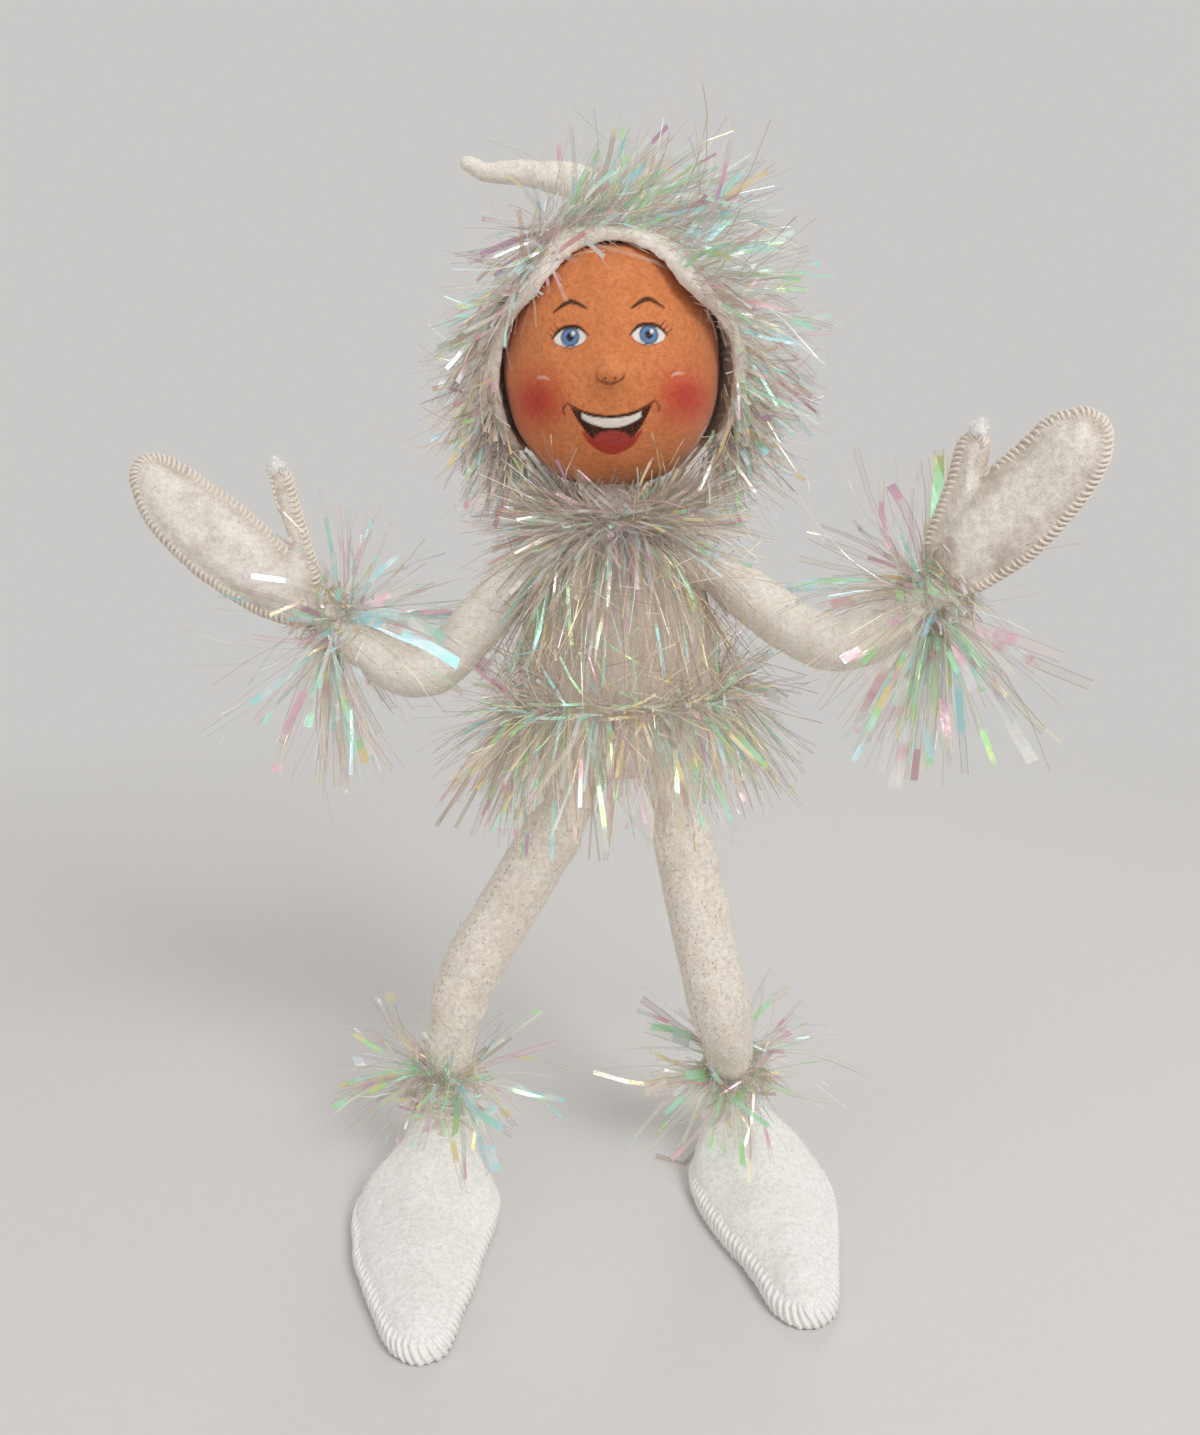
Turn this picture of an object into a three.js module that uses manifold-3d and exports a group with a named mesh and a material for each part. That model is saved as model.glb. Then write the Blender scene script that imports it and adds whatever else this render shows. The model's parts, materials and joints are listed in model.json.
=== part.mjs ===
// Posable felt elf doll: stuffed felt head, body and limbs on a bendable wire armature,
// a hood with a long pointed tail, mittens, pointed boots and rings of tinsel.
// Millimetres, +Z up. The doll faces -Y and its own right side is at -X.
import * as THREE from "three";
import { mergeVertices } from "three/addons/utils/BufferGeometryUtils.js";
import Module from "manifold-3d";

const wasm = await Module();
wasm.setup();

// Stock and gaps
const FELT = 1.5; // thickness of the wool felt
const WIRE_RADIUS = 1; // armature wire
const SEAT = 0.3; // gap between pieces that touch
const PLAY = 0.4; // gap between pieces that turn on each other
const BEND_GAP = 1.8; // from a joint with two axes to the end of each wire
const HINGE_GAP = 0.45; // from a joint with one axis to the end of each wire
const KNUCKLE_LENGTH = 2.4; // the short bend of wire at a joint with two axes
const FILLING_NECK = 0.8; // filling around the wire at a gathered end
const END_TRIM = 2.2; // from a joint to the gathered end of a sleeve

// Body
const TORSO_WIDTH = 47;
const TORSO_DEPTH = 37;
const TORSO_HEIGHT = 62;
const TORSO_LEAN = 1.5; // degrees towards the doll's right
const SHOULDER_HEIGHT = 50; // above the bottom of the body
const SHOULDER_OUT = 6; // from the side of the body to the joint
const HIP_SPACING = 27; // between the two hip joints
const HIP_DROP = 8; // from the bottom of the body to the hip joints
const HIP_BAR_HEIGHT = 9; // hip wire above the bottom of the body

// Head
const NECK_RADIUS = 5;
const NECK_LENGTH = 6.5;
const NECK_RAISE = 2; // nod joint above the body
const NECK_ENTRY = 6; // length of the neck inside the head
const HEAD_WIDTH = 50;
const HEAD_DEPTH = 47;
const HEAD_HEIGHT = 55;
const NOSE_RADIUS = 4;
const HOOD_WALL = 3;
const HOOD_FRONT = 9; // hood edge ahead of the middle of the head
const HOOD_TILT = 14; // degrees that the hood edge leans forward
const HOOD_HEM = 9; // hood's lower edge above the chin
const TAIL_RADIUS = 8;
const TAIL_TIP_RADIUS = 2.2;
const TAIL_RISE = 11;
const TAIL_LENGTH = 31;
const TAIL_BACK = 9; // tail joint behind the middle of the head
const TAIL_SETBACK = 5; // tail behind its joint

// Arms
const LIMB_SWELL = 0.7; // fullness at the middle of a limb section
const ARM_RADIUS = 6.3;
const UPPER_ARM_LENGTH = 36;
const FOREARM_LENGTH = 28;
const WRIST_RADIUS = 5.4;
const HAND_WIDTH = 19;
const HAND_THICKNESS = 8;
const THUMB_LENGTH = 27;
const ELBOW_STRAIGHT = 15; // degrees of bend left in a straight arm
const ELBOW_CLOSED = 105; // degrees of bend in a closed arm

// Legs
const LEG_RADIUS = 7.5;
const THIGH_LENGTH = 54;
const SHIN_LENGTH = 30;
const ANKLE_RADIUS = 6.4;
const THIGH_SPREAD = 31; // degrees that the right leg leans out above and below the knee
const SHIN_SPREAD = 10;
const KNEE_BACK = 80; // degrees that a knee can bend past its rest
const KNEE_FORWARD = 25;
const BOOT_LENGTH = 80;
const BOOT_WIDTH = 36;
const BOOT_HEEL = 12; // heel behind the ankle
const BOOT_HEIGHT = 21; // floor to the top of the boot
const ANKLE_GAP = 2.6; // from the boot's top to the ankle joint
const TOE_HEIGHT = 7;

// Pose
const STANCE_WIDTH = 77; // between the ankles, side to side
const STANCE_BACK = 12; // left ankle behind the right one
const CUFF_UP = 5; // tinsel ring above a wrist or an ankle

// Gathered ends and tinsel
const GATHER_LENGTH = 9;
const GATHER_RADIUS = 3;
const TINSEL_CORE = 2; // radius of the twisted core of a tinsel ring
const COLLAR_RADIUS = 12;
const WAIST_HEIGHT = 20; // tinsel above the bottom of the body
const HOOD_SPAN = 244; // degrees of the hood's edge that the tinsel follows
const HOOD_STRAND = 24; // longest strands
const COLLAR_STRAND = 28;
const SKIRT_STRAND = 30;
const WRIST_STRAND = 23;
const ANKLE_STRAND = 20;
const STRIP_WIDTH = 1.6;
const STRIP_THICKNESS = 0.5;

// Facets
const LIMB_SIDES = 12;
const BODY_SIDES = 18;
const WIRE_SIDES = 8;
const BALL_ROWS = 8;
const TINSEL_SIDES = 6;
const TAIL_STEPS = 9;

const degrees = THREE.MathUtils.degToRad;
const wireBore = WIRE_RADIUS + SEAT;

// Materials
const finish = (color, roughness, metalness = 0) => new THREE.MeshStandardMaterial({ color, roughness, metalness });
const whiteFelt = finish(0xefe9df, 1);
const faceFelt = finish(0xd88a52, 1);
const fibre = finish(0xf6f4ef, 1);
const steel = finish(0x8b8d90, 0.4, 1);
const tinsel = finish(0xdde4e6, 0.15, 0.3);

// Solids: a geometry with merged vertices becomes a manifold solid, and comes back after a cut or a join.
function solidOf(geometry) {
  const bare = new THREE.BufferGeometry().setAttribute("position", geometry.getAttribute("position"));
  bare.setIndex(geometry.index);
  const merged = mergeVertices(bare, 1e-4);
  return new wasm.Manifold(
    new wasm.Mesh({
      numProp: 3,
      vertProperties: new Float32Array(merged.attributes.position.array),
      triVerts: new Uint32Array(merged.index.array),
    }),
  );
}

function geometryOf(solid) {
  const made = solid.getMesh();
  const geometry = new THREE.BufferGeometry();
  geometry.setAttribute("position", new THREE.BufferAttribute(made.vertProperties, made.numProp));
  geometry.setIndex(new THREE.BufferAttribute(made.triVerts, 1));
  return geometry;
}

const cut = (geometry, ...tools) =>
  geometryOf(tools.reduce((left, tool) => left.subtract(solidOf(tool)), solidOf(geometry)));
const join = (first, ...others) =>
  geometryOf(others.reduce((whole, other) => whole.add(solidOf(other)), solidOf(first)));

function addMesh(name, geometry, material, parent) {
  const mesh = new THREE.Mesh(geometry, material);
  mesh.name = name;
  parent.add(mesh);
  return mesh;
}

function addPivot(name, parent, x = 0, y = 0, z = 0) {
  const group = new THREE.Group();
  group.name = name;
  group.position.set(x, y, z);
  parent.add(group);
  return group;
}

// Basic forms. An outline is a list of [radius, z] from the bottom up, and a rod runs along Z.
function revolve(outline, sides) {
  const points = outline.map(([radius, z]) => new THREE.Vector2(radius, z));
  return new THREE.LatheGeometry(points, sides).rotateX(Math.PI / 2);
}

function rod(radius, bottom, top, sides = WIRE_SIDES) {
  const geometry = new THREE.CylinderGeometry(radius, radius, top - bottom, sides);
  return geometry.rotateX(Math.PI / 2).translate(0, 0, (top + bottom) / 2);
}

const ball = (radius, sides = LIMB_SIDES) => new THREE.SphereGeometry(radius, sides, BALL_ROWS).rotateX(Math.PI / 2);
const slab = (x, y, z) => new THREE.BoxGeometry(x, y, z);

// The space that a limb hanging along -Z takes as it swings about its pivot's X or Y axis.
function swing(radius, reach, axis, from, to) {
  const round = (radius + PLAY) / Math.cos(Math.PI / LIMB_SIDES);
  const clear = round + LIMB_SWELL;
  const start = degrees(axis === "x" ? from - 90 : from + 180);
  const sector = new THREE.Shape();
  sector.moveTo(0, 0);
  sector.absarc(0, 0, reach, start, start + degrees(to - from), false);
  sector.closePath();
  const plate = new THREE.ExtrudeGeometry(sector, { depth: 2 * clear, bevelEnabled: false, curveSegments: 8 });
  plate.translate(0, 0, -clear);
  if (axis === "x") plate.rotateZ(Math.PI / 2).rotateY(Math.PI / 2);
  else plate.rotateX(-Math.PI / 2).rotateY(-Math.PI / 2);
  const turn = axis === "x" ? "rotateX" : "rotateY";
  const ends = [from, to].map((angle) => rod(clear, -reach, 0, LIMB_SIDES)[turn](degrees(angle)));
  return join(plate, ball(round), ...ends);
}

// A body of rings joined in order and closed at both ends. Each ring is a list of points.
function loft(rings) {
  const count = rings[0].length;
  const points = rings.flat();
  const faces = [];
  for (let row = 0; row < rings.length - 1; row++) {
    for (let i = 0; i < count; i++) {
      const a = row * count + i;
      const b = row * count + ((i + 1) % count);
      faces.push(a, b, b + count, a, b + count, a + count);
    }
  }
  [0, rings.length - 1].forEach((row, end) => {
    const middle = points.length;
    const sum = rings[row].reduce((total, p) => total.add(p), new THREE.Vector3());
    points.push(sum.divideScalar(count));
    for (let i = 0; i < count; i++) {
      const a = row * count + i;
      const b = row * count + ((i + 1) % count);
      if (end) faces.push(a, b, middle);
      else faces.push(b, a, middle);
    }
  });
  return new THREE.BufferGeometry().setFromPoints(points).setIndex(faces);
}

// Outline of a limb section that hangs from z = 0 to z = -length. The top is round about the pivot or
// gathered on the wire, and the bottom is gathered or plain where the next section's round end sits.
function limbOutline({ length, top, bottom, round, gathered }, inset, neck, trim, open) {
  const lower = bottom - inset;
  const upper = top - inset;
  const quarter = [0, 30, 60, 90].map(degrees);
  const outline = [];
  if (gathered) {
    outline.push([0, trim - length - open], [neck, trim - length - open]);
    for (const a of quarter) {
      outline.push([neck + (lower - neck) * Math.sin(a), trim - length + GATHER_LENGTH * (1 - Math.cos(a))]);
    }
  } else outline.push([0, -length - open], [lower, -length - open]);
  outline.push([(lower + upper) / 2 + LIMB_SWELL, -length / 2]);
  if (round) quarter.forEach((a) => outline.push([upper * Math.cos(a), upper * Math.sin(a)]));
  else {
    for (const a of quarter.reverse()) {
      outline.push([neck + (upper - neck) * Math.sin(a), -trim - GATHER_LENGTH * (1 - Math.cos(a))]);
    }
    outline.push([neck, open - trim], [0, open - trim]);
  }
  const last = outline.length - 1;
  outline[last][0] = 0;
  return outline.filter(([r, z], k) => k === 0 || r !== outline[k - 1][0] || z !== outline[k - 1][1]);
}

// A stuffed limb section: felt sleeve, filling and wire. The tools make room for the next section.
function addLimb(name, parent, limb, ...tools) {
  const sleeve = revolve(limbOutline(limb, 0, GATHER_RADIUS, END_TRIM, 0), LIMB_SIDES);
  const hollow = revolve(limbOutline(limb, FELT, GATHER_RADIUS - FELT, END_TRIM, FELT), LIMB_SIDES);
  const packed = limbOutline(limb, FELT + SEAT, wireBore + FILLING_NECK, END_TRIM + 2 * FELT, 0);
  const bore = rod(wireBore, -2 * limb.length, limb.round ? SEAT : limb.length);
  const wireTop = limb.round ? 0 : -BEND_GAP;
  const wireBottom = limb.gathered ? HINGE_GAP - limb.length : limb.bottom + FELT - limb.length;
  addMesh(`${name}_felt`, cut(sleeve, hollow, ...tools), whiteFelt, parent);
  addMesh(`${name}_filling`, cut(revolve(packed, LIMB_SIDES), bore, ...tools), fibre, parent);
  addMesh(`${name}_wire`, rod(WIRE_RADIUS, wireBottom, wireTop), steel, parent);
}

// A ring, or an arc, of tinsel in the XY plane of its group. Each strand grows from one facet of the
// core, so no two cross. A row names its facet of the core, the length and the fall of its strands
// and, where it does not go all round, the part of the ring that it fills.
function tinselRing(radiusX, radiusY, segments, rows, arc = [0, 360]) {
  const whole = arc[1] - arc[0] === 360;
  const rings = whole ? segments : segments + 1;
  const points = [];
  const faces = [];
  const at = (ring, side) => (ring % rings) * TINSEL_SIDES + (side % TINSEL_SIDES);
  for (let i = 0; i < rings; i++) {
    const a = degrees(arc[0] + ((arc[1] - arc[0]) * i) / segments);
    for (let j = 0; j < TINSEL_SIDES; j++) {
      const b = (2 * Math.PI * (j - 0.5)) / TINSEL_SIDES;
      const out = TINSEL_CORE * Math.cos(b);
      const x = (radiusX + out) * Math.cos(a);
      points.push(new THREE.Vector3(x, (radiusY + out) * Math.sin(a), TINSEL_CORE * Math.sin(b)));
    }
  }
  for (let i = 0; i < segments; i++) {
    const middleAngle = arc[0] + ((arc[1] - arc[0]) * (i + 0.5)) / segments;
    for (let j = 0; j < TINSEL_SIDES; j++) {
      const root = [at(i, j), at(i + 1, j), at(i + 1, j + 1), at(i, j + 1)];
      const row = rows.find((entry) => entry.side === j && (!entry.fill || entry.fill(middleAngle, i)));
      if (!row) {
        faces.push(root[0], root[1], root[2], root[0], root[2], root[3]);
        continue;
      }
      const vary = (i * 0.618 + j * 0.382) % 1;
      const middle = root.reduce((sum, k) => sum.addScaledVector(points[k], 0.25), new THREE.Vector3());
      const along = points[root[1]].clone().sub(points[root[0]]).normalize();
      const out = new THREE.Vector3(Math.cos(degrees(middleAngle)), Math.sin(degrees(middleAngle)), 0);
      const way = out.multiplyScalar(Math.cos(degrees(row.fall)));
      way.z = Math.sin(degrees(row.fall));
      const flat = along.clone().cross(way).normalize().negate();
      const tip = middle.clone().addScaledVector(way, row.length * (0.75 + 0.25 * vary));
      const first = points.length;
      for (const [u, v] of [[-1, -1], [1, -1], [1, 1], [-1, 1]]) {
        const corner = tip.clone().addScaledVector(along, (u * STRIP_WIDTH) / 2);
        points.push(corner.addScaledVector(flat, (v * STRIP_THICKNESS) / 2));
      }
      for (let k = 0; k < 4; k++) {
        const next = (k + 1) % 4;
        faces.push(root[k], root[next], first + next, root[k], first + next, first + k);
      }
      faces.push(first, first + 1, first + 2, first, first + 2, first + 3);
    }
  }
  if (!whole) {
    for (let j = 1; j < TINSEL_SIDES - 1; j++) {
      faces.push(at(0, 0), at(0, j), at(0, j + 1));
      faces.push(at(segments, 0), at(segments, j + 1), at(segments, j));
    }
  }
  return new THREE.BufferGeometry().setFromPoints(points).setIndex(faces);
}

// Body
const doll = new THREE.Group();
doll.name = "felt_elf_doll";
const torso = addPivot("torso", doll);
torso.rotation.y = degrees(-TORSO_LEAN);

// An outline of [radius, z] through a few points of a unit form, inset on all sides.
function unitOutline(form, width, bottom, height, inset, steps) {
  const curve = new THREE.SplineCurve(form.map(([r, z]) => new THREE.Vector2(r, z)));
  const outline = curve.getPoints(steps).map((p) => [
    Math.max(0, p.x) * (width / 2 - inset),
    bottom + inset + THREE.MathUtils.clamp(p.y, 0, 1) * (height - 2 * inset),
  ]);
  outline[0] = [0, bottom + inset];
  outline[steps] = [0, bottom + height - inset];
  return outline;
}
function radiusAt(outline, z) {
  const k = outline.findIndex((point) => point[1] > z);
  return THREE.MathUtils.mapLinear(z, outline[k - 1][1], outline[k][1], outline[k - 1][0], outline[k][0]);
}
function topAt(outline, radius) {
  const k = outline.findLastIndex((point) => point[0] > radius);
  return THREE.MathUtils.mapLinear(radius, outline[k][0], outline[k + 1][0], outline[k][1], outline[k + 1][1]);
}

const torsoForm = [[0, 0], [0.6, 0.01], [0.9, 0.14], [1, 0.36], [0.93, 0.62], [0.74, 0.83], [0.36, 0.97], [0, 1]];
const torsoOutline = (inset) => unitOutline(torsoForm, TORSO_WIDTH, HIP_DROP, TORSO_HEIGHT, inset, 11);
const torsoFlat = TORSO_DEPTH / TORSO_WIDTH;
function torsoBody(inset) {
  const flat = (TORSO_DEPTH - 2 * inset) / (TORSO_WIDTH - 2 * inset);
  return revolve(torsoOutline(inset), BODY_SIDES).scale(1, flat, 1);
}
const torsoTop = HIP_DROP + TORSO_HEIGHT;
const shoulderZ = HIP_DROP + SHOULDER_HEIGHT;
const shoulderX = radiusAt(torsoOutline(0), shoulderZ) + SHOULDER_OUT;
const hipX = HIP_SPACING / 2;
const hipBarZ = HIP_DROP + HIP_BAR_HEIGHT;

// Spine, shoulder bar, hip bar and the two drops that reach the hips.
function torsoArmature(radius, extra) {
  const spine = rod(radius, hipBarZ, torsoTop + NECK_RAISE - HINGE_GAP + extra);
  const shoulderBar = rod(radius, BEND_GAP - shoulderX - extra, shoulderX - BEND_GAP + extra);
  const hipBar = rod(radius, -hipX, hipX).rotateY(Math.PI / 2);
  const drops = [-hipX, hipX].map((x) => rod(radius, BEND_GAP - extra, hipBarZ + radius).translate(x, 0, 0));
  const bars = [shoulderBar.rotateY(Math.PI / 2).translate(0, 0, shoulderZ), hipBar.translate(0, 0, hipBarZ)];
  return join(spine, ...bars, ...drops);
}
const wireChannel = torsoArmature(wireBore, HIP_DROP);
addMesh("torso_felt", cut(torsoBody(0), torsoBody(FELT), wireChannel), whiteFelt, torso);
addMesh("torso_filling", cut(torsoBody(FELT + SEAT), wireChannel), fibre, torso);
addMesh("torso_wire", torsoArmature(WIRE_RADIUS, 0), steel, torso);

// Neck and head. The head turns on the top of the neck, and the neck nods on the spine.
const neck = addPivot("neck", torso, 0, 0, torsoTop + NECK_RAISE);
const head = addPivot("head", neck, 0, 0, NECK_LENGTH);
const neckTop = NECK_LENGTH + NECK_ENTRY;
const neckRoll = rod(NECK_RADIUS, PLAY, neckTop, LIMB_SIDES);
addMesh("neck_felt", cut(neckRoll, rod(wireBore, -1, neckTop + 1)), whiteFelt, neck);
addMesh("neck_wire", rod(WIRE_RADIUS, HINGE_GAP, neckTop + NECK_ENTRY), steel, neck);

const headForm = [[0, 0], [0.5, 0.045], [0.87, 0.22], [1, 0.46], [0.93, 0.7], [0.62, 0.92], [0, 1]];
const headOutline = (inset) => unitOutline(headForm, HEAD_WIDTH, 0, HEAD_HEIGHT, inset, 11);
function headBody(inset) {
  const flat = (HEAD_DEPTH - 2 * inset) / (HEAD_WIDTH - 2 * inset);
  return revolve(headOutline(inset), BODY_SIDES).scale(1, flat, 1);
}
const neckHole = rod(NECK_RADIUS / Math.cos(Math.PI / LIMB_SIDES) + PLAY, -HEAD_HEIGHT, NECK_ENTRY + PLAY, LIMB_SIDES);
const neckBore = rod(wireBore / Math.cos(Math.PI / WIRE_SIDES), 0, 2 * NECK_ENTRY + PLAY);
const halfHead = slab(2 * HEAD_WIDTH, 2 * HEAD_DEPTH, 3 * HEAD_HEIGHT);
const frontHalf = halfHead.clone().translate(0, SEAT - HEAD_DEPTH, 0);
const backHalf = halfHead.clone().translate(0, HEAD_DEPTH, 0);
const nose = ball(NOSE_RADIUS).translate(0, NOSE_RADIUS * 0.3 - HEAD_DEPTH / 2, HEAD_HEIGHT * 0.43);
const hollowHead = headBody(FELT);
addMesh("face_felt", cut(join(headBody(0), nose), hollowHead, neckHole, backHalf), faceFelt, head);
addMesh("head_back_felt", cut(headBody(0), hollowHead, neckHole, frontHalf), whiteFelt, head);
addMesh("head_filling", cut(headBody(FELT + SEAT), neckHole, neckBore), fibre, head);

// Hood: open in front of a plane that leans forward, and open below its hem.
const rim = addPivot("hood_rim", head, 0, 0, HEAD_HEIGHT / 2);
rim.rotation.x = degrees(HOOD_TILT);
rim.updateMatrix();
const opening = slab(4 * HEAD_WIDTH, HEAD_DEPTH, 4 * HEAD_HEIGHT).translate(0, -HEAD_DEPTH / 2 - HOOD_FRONT, 0);
const hem = slab(4 * HEAD_WIDTH, 4 * HEAD_DEPTH, HEAD_HEIGHT).translate(0, 0, HOOD_HEM - HEAD_HEIGHT / 2);
const hoodOutline = headOutline(-SEAT - HOOD_WALL);
const tailZ = topAt(hoodOutline, TAIL_BACK) + TAIL_RADIUS - HOOD_WALL / 2;
const tailSocket = ball(TAIL_RADIUS / Math.cos(Math.PI / LIMB_SIDES) + PLAY).translate(0, TAIL_BACK, tailZ);
const hoodShell = cut(headBody(-SEAT - HOOD_WALL), headBody(-SEAT), opening.applyMatrix4(rim.matrix), hem, tailSocket);
addMesh("hood_felt", hoodShell, whiteFelt, head);

// Tail of the hood: rises, then bends to the doll's right with the tip turned up.
const tail = addPivot("cap_tail", head, 0, TAIL_BACK, tailZ);
const tailPath = new THREE.CatmullRomCurve3(
  [[0, 0, 0], [-0.06, 0.6, 0.6], [-0.25, 1, 0.95], [-0.62, 1, 1], [-1, 1, 1.3]].map(
    ([x, y, z]) => new THREE.Vector3(x * TAIL_LENGTH, y * TAIL_SETBACK, z * TAIL_RISE),
  ),
);
const tailRings = [];
for (let i = 0; i <= TAIL_STEPS; i++) {
  const t = i / TAIL_STEPS;
  const way = tailPath.getTangentAt(t);
  const across = new THREE.Vector3(0, 1, 0).addScaledVector(way, -way.y).normalize();
  const up = way.clone().cross(across);
  const radius = THREE.MathUtils.lerp(TAIL_RADIUS - SEAT, TAIL_TIP_RADIUS, Math.sqrt(t));
  const ring = [];
  for (let k = 0; k < LIMB_SIDES; k++) {
    const a = (2 * Math.PI * k) / LIMB_SIDES;
    const point = tailPath.getPointAt(t).addScaledVector(across, radius * Math.cos(a));
    ring.push(point.addScaledVector(up, radius * Math.sin(a)));
  }
  tailRings.push(ring);
}
addMesh("cap_tail_felt", join(ball(TAIL_RADIUS), loft(tailRings)), whiteFelt, tail);

// Tinsel along the hood's edge, from one side of the jaw over the top to the other.
const hoodOut = SEAT + HOOD_WALL;
const hoodEdge = Math.sqrt(1 - (HOOD_FRONT / (HEAD_DEPTH / 2 + hoodOut)) ** 2);
const hoodRing = tinselRing(
  (HEAD_WIDTH / 2 + hoodOut) * hoodEdge,
  HEAD_HEIGHT / 2 + TINSEL_CORE,
  30,
  [
    { side: 0, length: HOOD_STRAND, fall: 0, fill: (angle) => angle > -5 && angle < 185 },
    { side: 0, length: 0.54 * HOOD_STRAND, fall: 0 },
    { side: 1, length: 0.7 * HOOD_STRAND, fall: 42 },
    { side: 5, length: 0.83 * HOOD_STRAND, fall: -42, fill: (angle) => angle > -5 && angle < 185 },
  ],
  [90 - HOOD_SPAN / 2, 90 + HOOD_SPAN / 2],
);
hoodRing.rotateX(Math.PI / 2).translate(0, -HOOD_FRONT - TINSEL_CORE - 2 * SEAT, 0);
addMesh("hood_tinsel", hoodRing, tinsel, rim);

// Tinsel at the collar and at the waist.
const collarX = COLLAR_RADIUS;
const collarY = COLLAR_RADIUS * torsoFlat;
const collar = addPivot("collar", torso, 0, 0, topAt(torsoOutline(0), collarX - TINSEL_CORE) + 1.4 * TINSEL_CORE);
const frontOrBack = (angle) => Math.abs(Math.sin(degrees(angle))) > 0.45;
const collarRing = tinselRing(collarX, collarY, 22, [
  { side: 0, length: 0.68 * COLLAR_STRAND, fall: -22, fill: frontOrBack },
  { side: 0, length: 0.5 * COLLAR_STRAND, fall: 0 },
  { side: 1, length: 0.46 * COLLAR_STRAND, fall: 16 },
  { side: 5, length: COLLAR_STRAND, fall: -60, fill: frontOrBack },
]);
addMesh("collar_tinsel", collarRing, tinsel, collar);

const waistZ = HIP_DROP + WAIST_HEIGHT;
const waistRadius = Math.max(radiusAt(torsoOutline(0), waistZ + TINSEL_CORE), radiusAt(torsoOutline(0), waistZ));
const waist = addPivot("waist", torso, 0, 0, waistZ);
const waistOut = TINSEL_CORE + SEAT;
const waistRing = tinselRing(waistRadius + waistOut, waistRadius * torsoFlat + waistOut, 26, [
  { side: 0, length: 0.93 * SKIRT_STRAND, fall: -28 },
  { side: 5, length: SKIRT_STRAND, fall: -58 },
]);
addMesh("waist_tinsel", waistRing, tinsel, waist);

// A tinsel ring on the gathered lower end of a limb section.
function addCuff(name, parent, limb, segments, rows) {
  const rise = (CUFF_UP + TINSEL_CORE - END_TRIM) / GATHER_LENGTH;
  const sleeve = GATHER_RADIUS + (limb.bottom - GATHER_RADIUS) * Math.sqrt(1 - (1 - Math.min(1, rise)) ** 2);
  const radius = sleeve + TINSEL_CORE + SEAT;
  const cuff = addPivot(`${name}_cuff`, parent, 0, 0, CUFF_UP - limb.length);
  addMesh(name, tinselRing(radius, radius, segments, rows), tinsel, cuff);
}

// Mitten: two puffed felts sewn edge to edge, with the wire between them.
function puffed(points, thickness, edge) {
  const shape = new THREE.Shape(points);
  const depth = thickness - 2 * edge;
  const bevel = { bevelThickness: edge, bevelSize: edge, bevelOffset: -edge, bevelSegments: 2 };
  return new THREE.ExtrudeGeometry(shape, { depth, ...bevel, steps: 1 }).rotateX(-Math.PI / 2).translate(0, -depth / 2, 0);
}
const palmForm = [[0.22, 0.04], [0.35, 0.15], [0.47, 0.34], [0.5, 0.52], [0.47, 0.7], [0.4, 0.86], [0.22, 0.97], [0, 1]];
const palmEdge = [...palmForm, ...palmForm.slice(0, -1).reverse().map(([x, z]) => [-x, z])];
function addMitten(name, parent, side, { hand, bow, thumb, spread, start, aside }) {
  const bowed = palmEdge.map(([x, z]) => {
    const shift = side * bow * 4 * z * (z - 1);
    return new THREE.Vector2(x * HAND_WIDTH + shift, z * hand);
  });
  const palm = puffed(new THREE.SplineCurve(bowed).getPoints(24), HAND_THICKNESS, HAND_THICKNESS * 0.36);
  const tip = THUMB_LENGTH - thumb / 2;
  const thumbEdge = [new THREE.Vector2(thumb / 2, 0)];
  for (let a = 0; a <= 180; a += 36) {
    thumbEdge.push(new THREE.Vector2((thumb / 2) * Math.cos(degrees(a)), tip + (thumb / 2) * Math.sin(degrees(a))));
  }
  thumbEdge.push(new THREE.Vector2(-thumb / 2, 0));
  const stalk = puffed(thumbEdge, HAND_THICKNESS * 0.7, thumb * 0.3).rotateY(-side * degrees(spread));
  const mitten = join(palm, stalk.translate(side * aside, 0, -start));
  const groove = rod(wireBore, -0.75 * hand, hand);
  const half = slab(4 * hand, hand, 4 * hand);
  const behind = half.clone().translate(0, hand / 2 - SEAT / 2, 0);
  const ahead = half.clone().translate(0, SEAT / 2 - hand / 2, 0);
  addMesh(`${name}_mitten_palm`, cut(mitten, behind, groove), whiteFelt, parent);
  addMesh(`${name}_mitten_back`, cut(mitten, ahead, groove), whiteFelt, parent);
  addMesh(`${name}_hand_wire`, rod(WIRE_RADIUS, -0.72 * hand, -HINGE_GAP), steel, parent);
}

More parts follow.
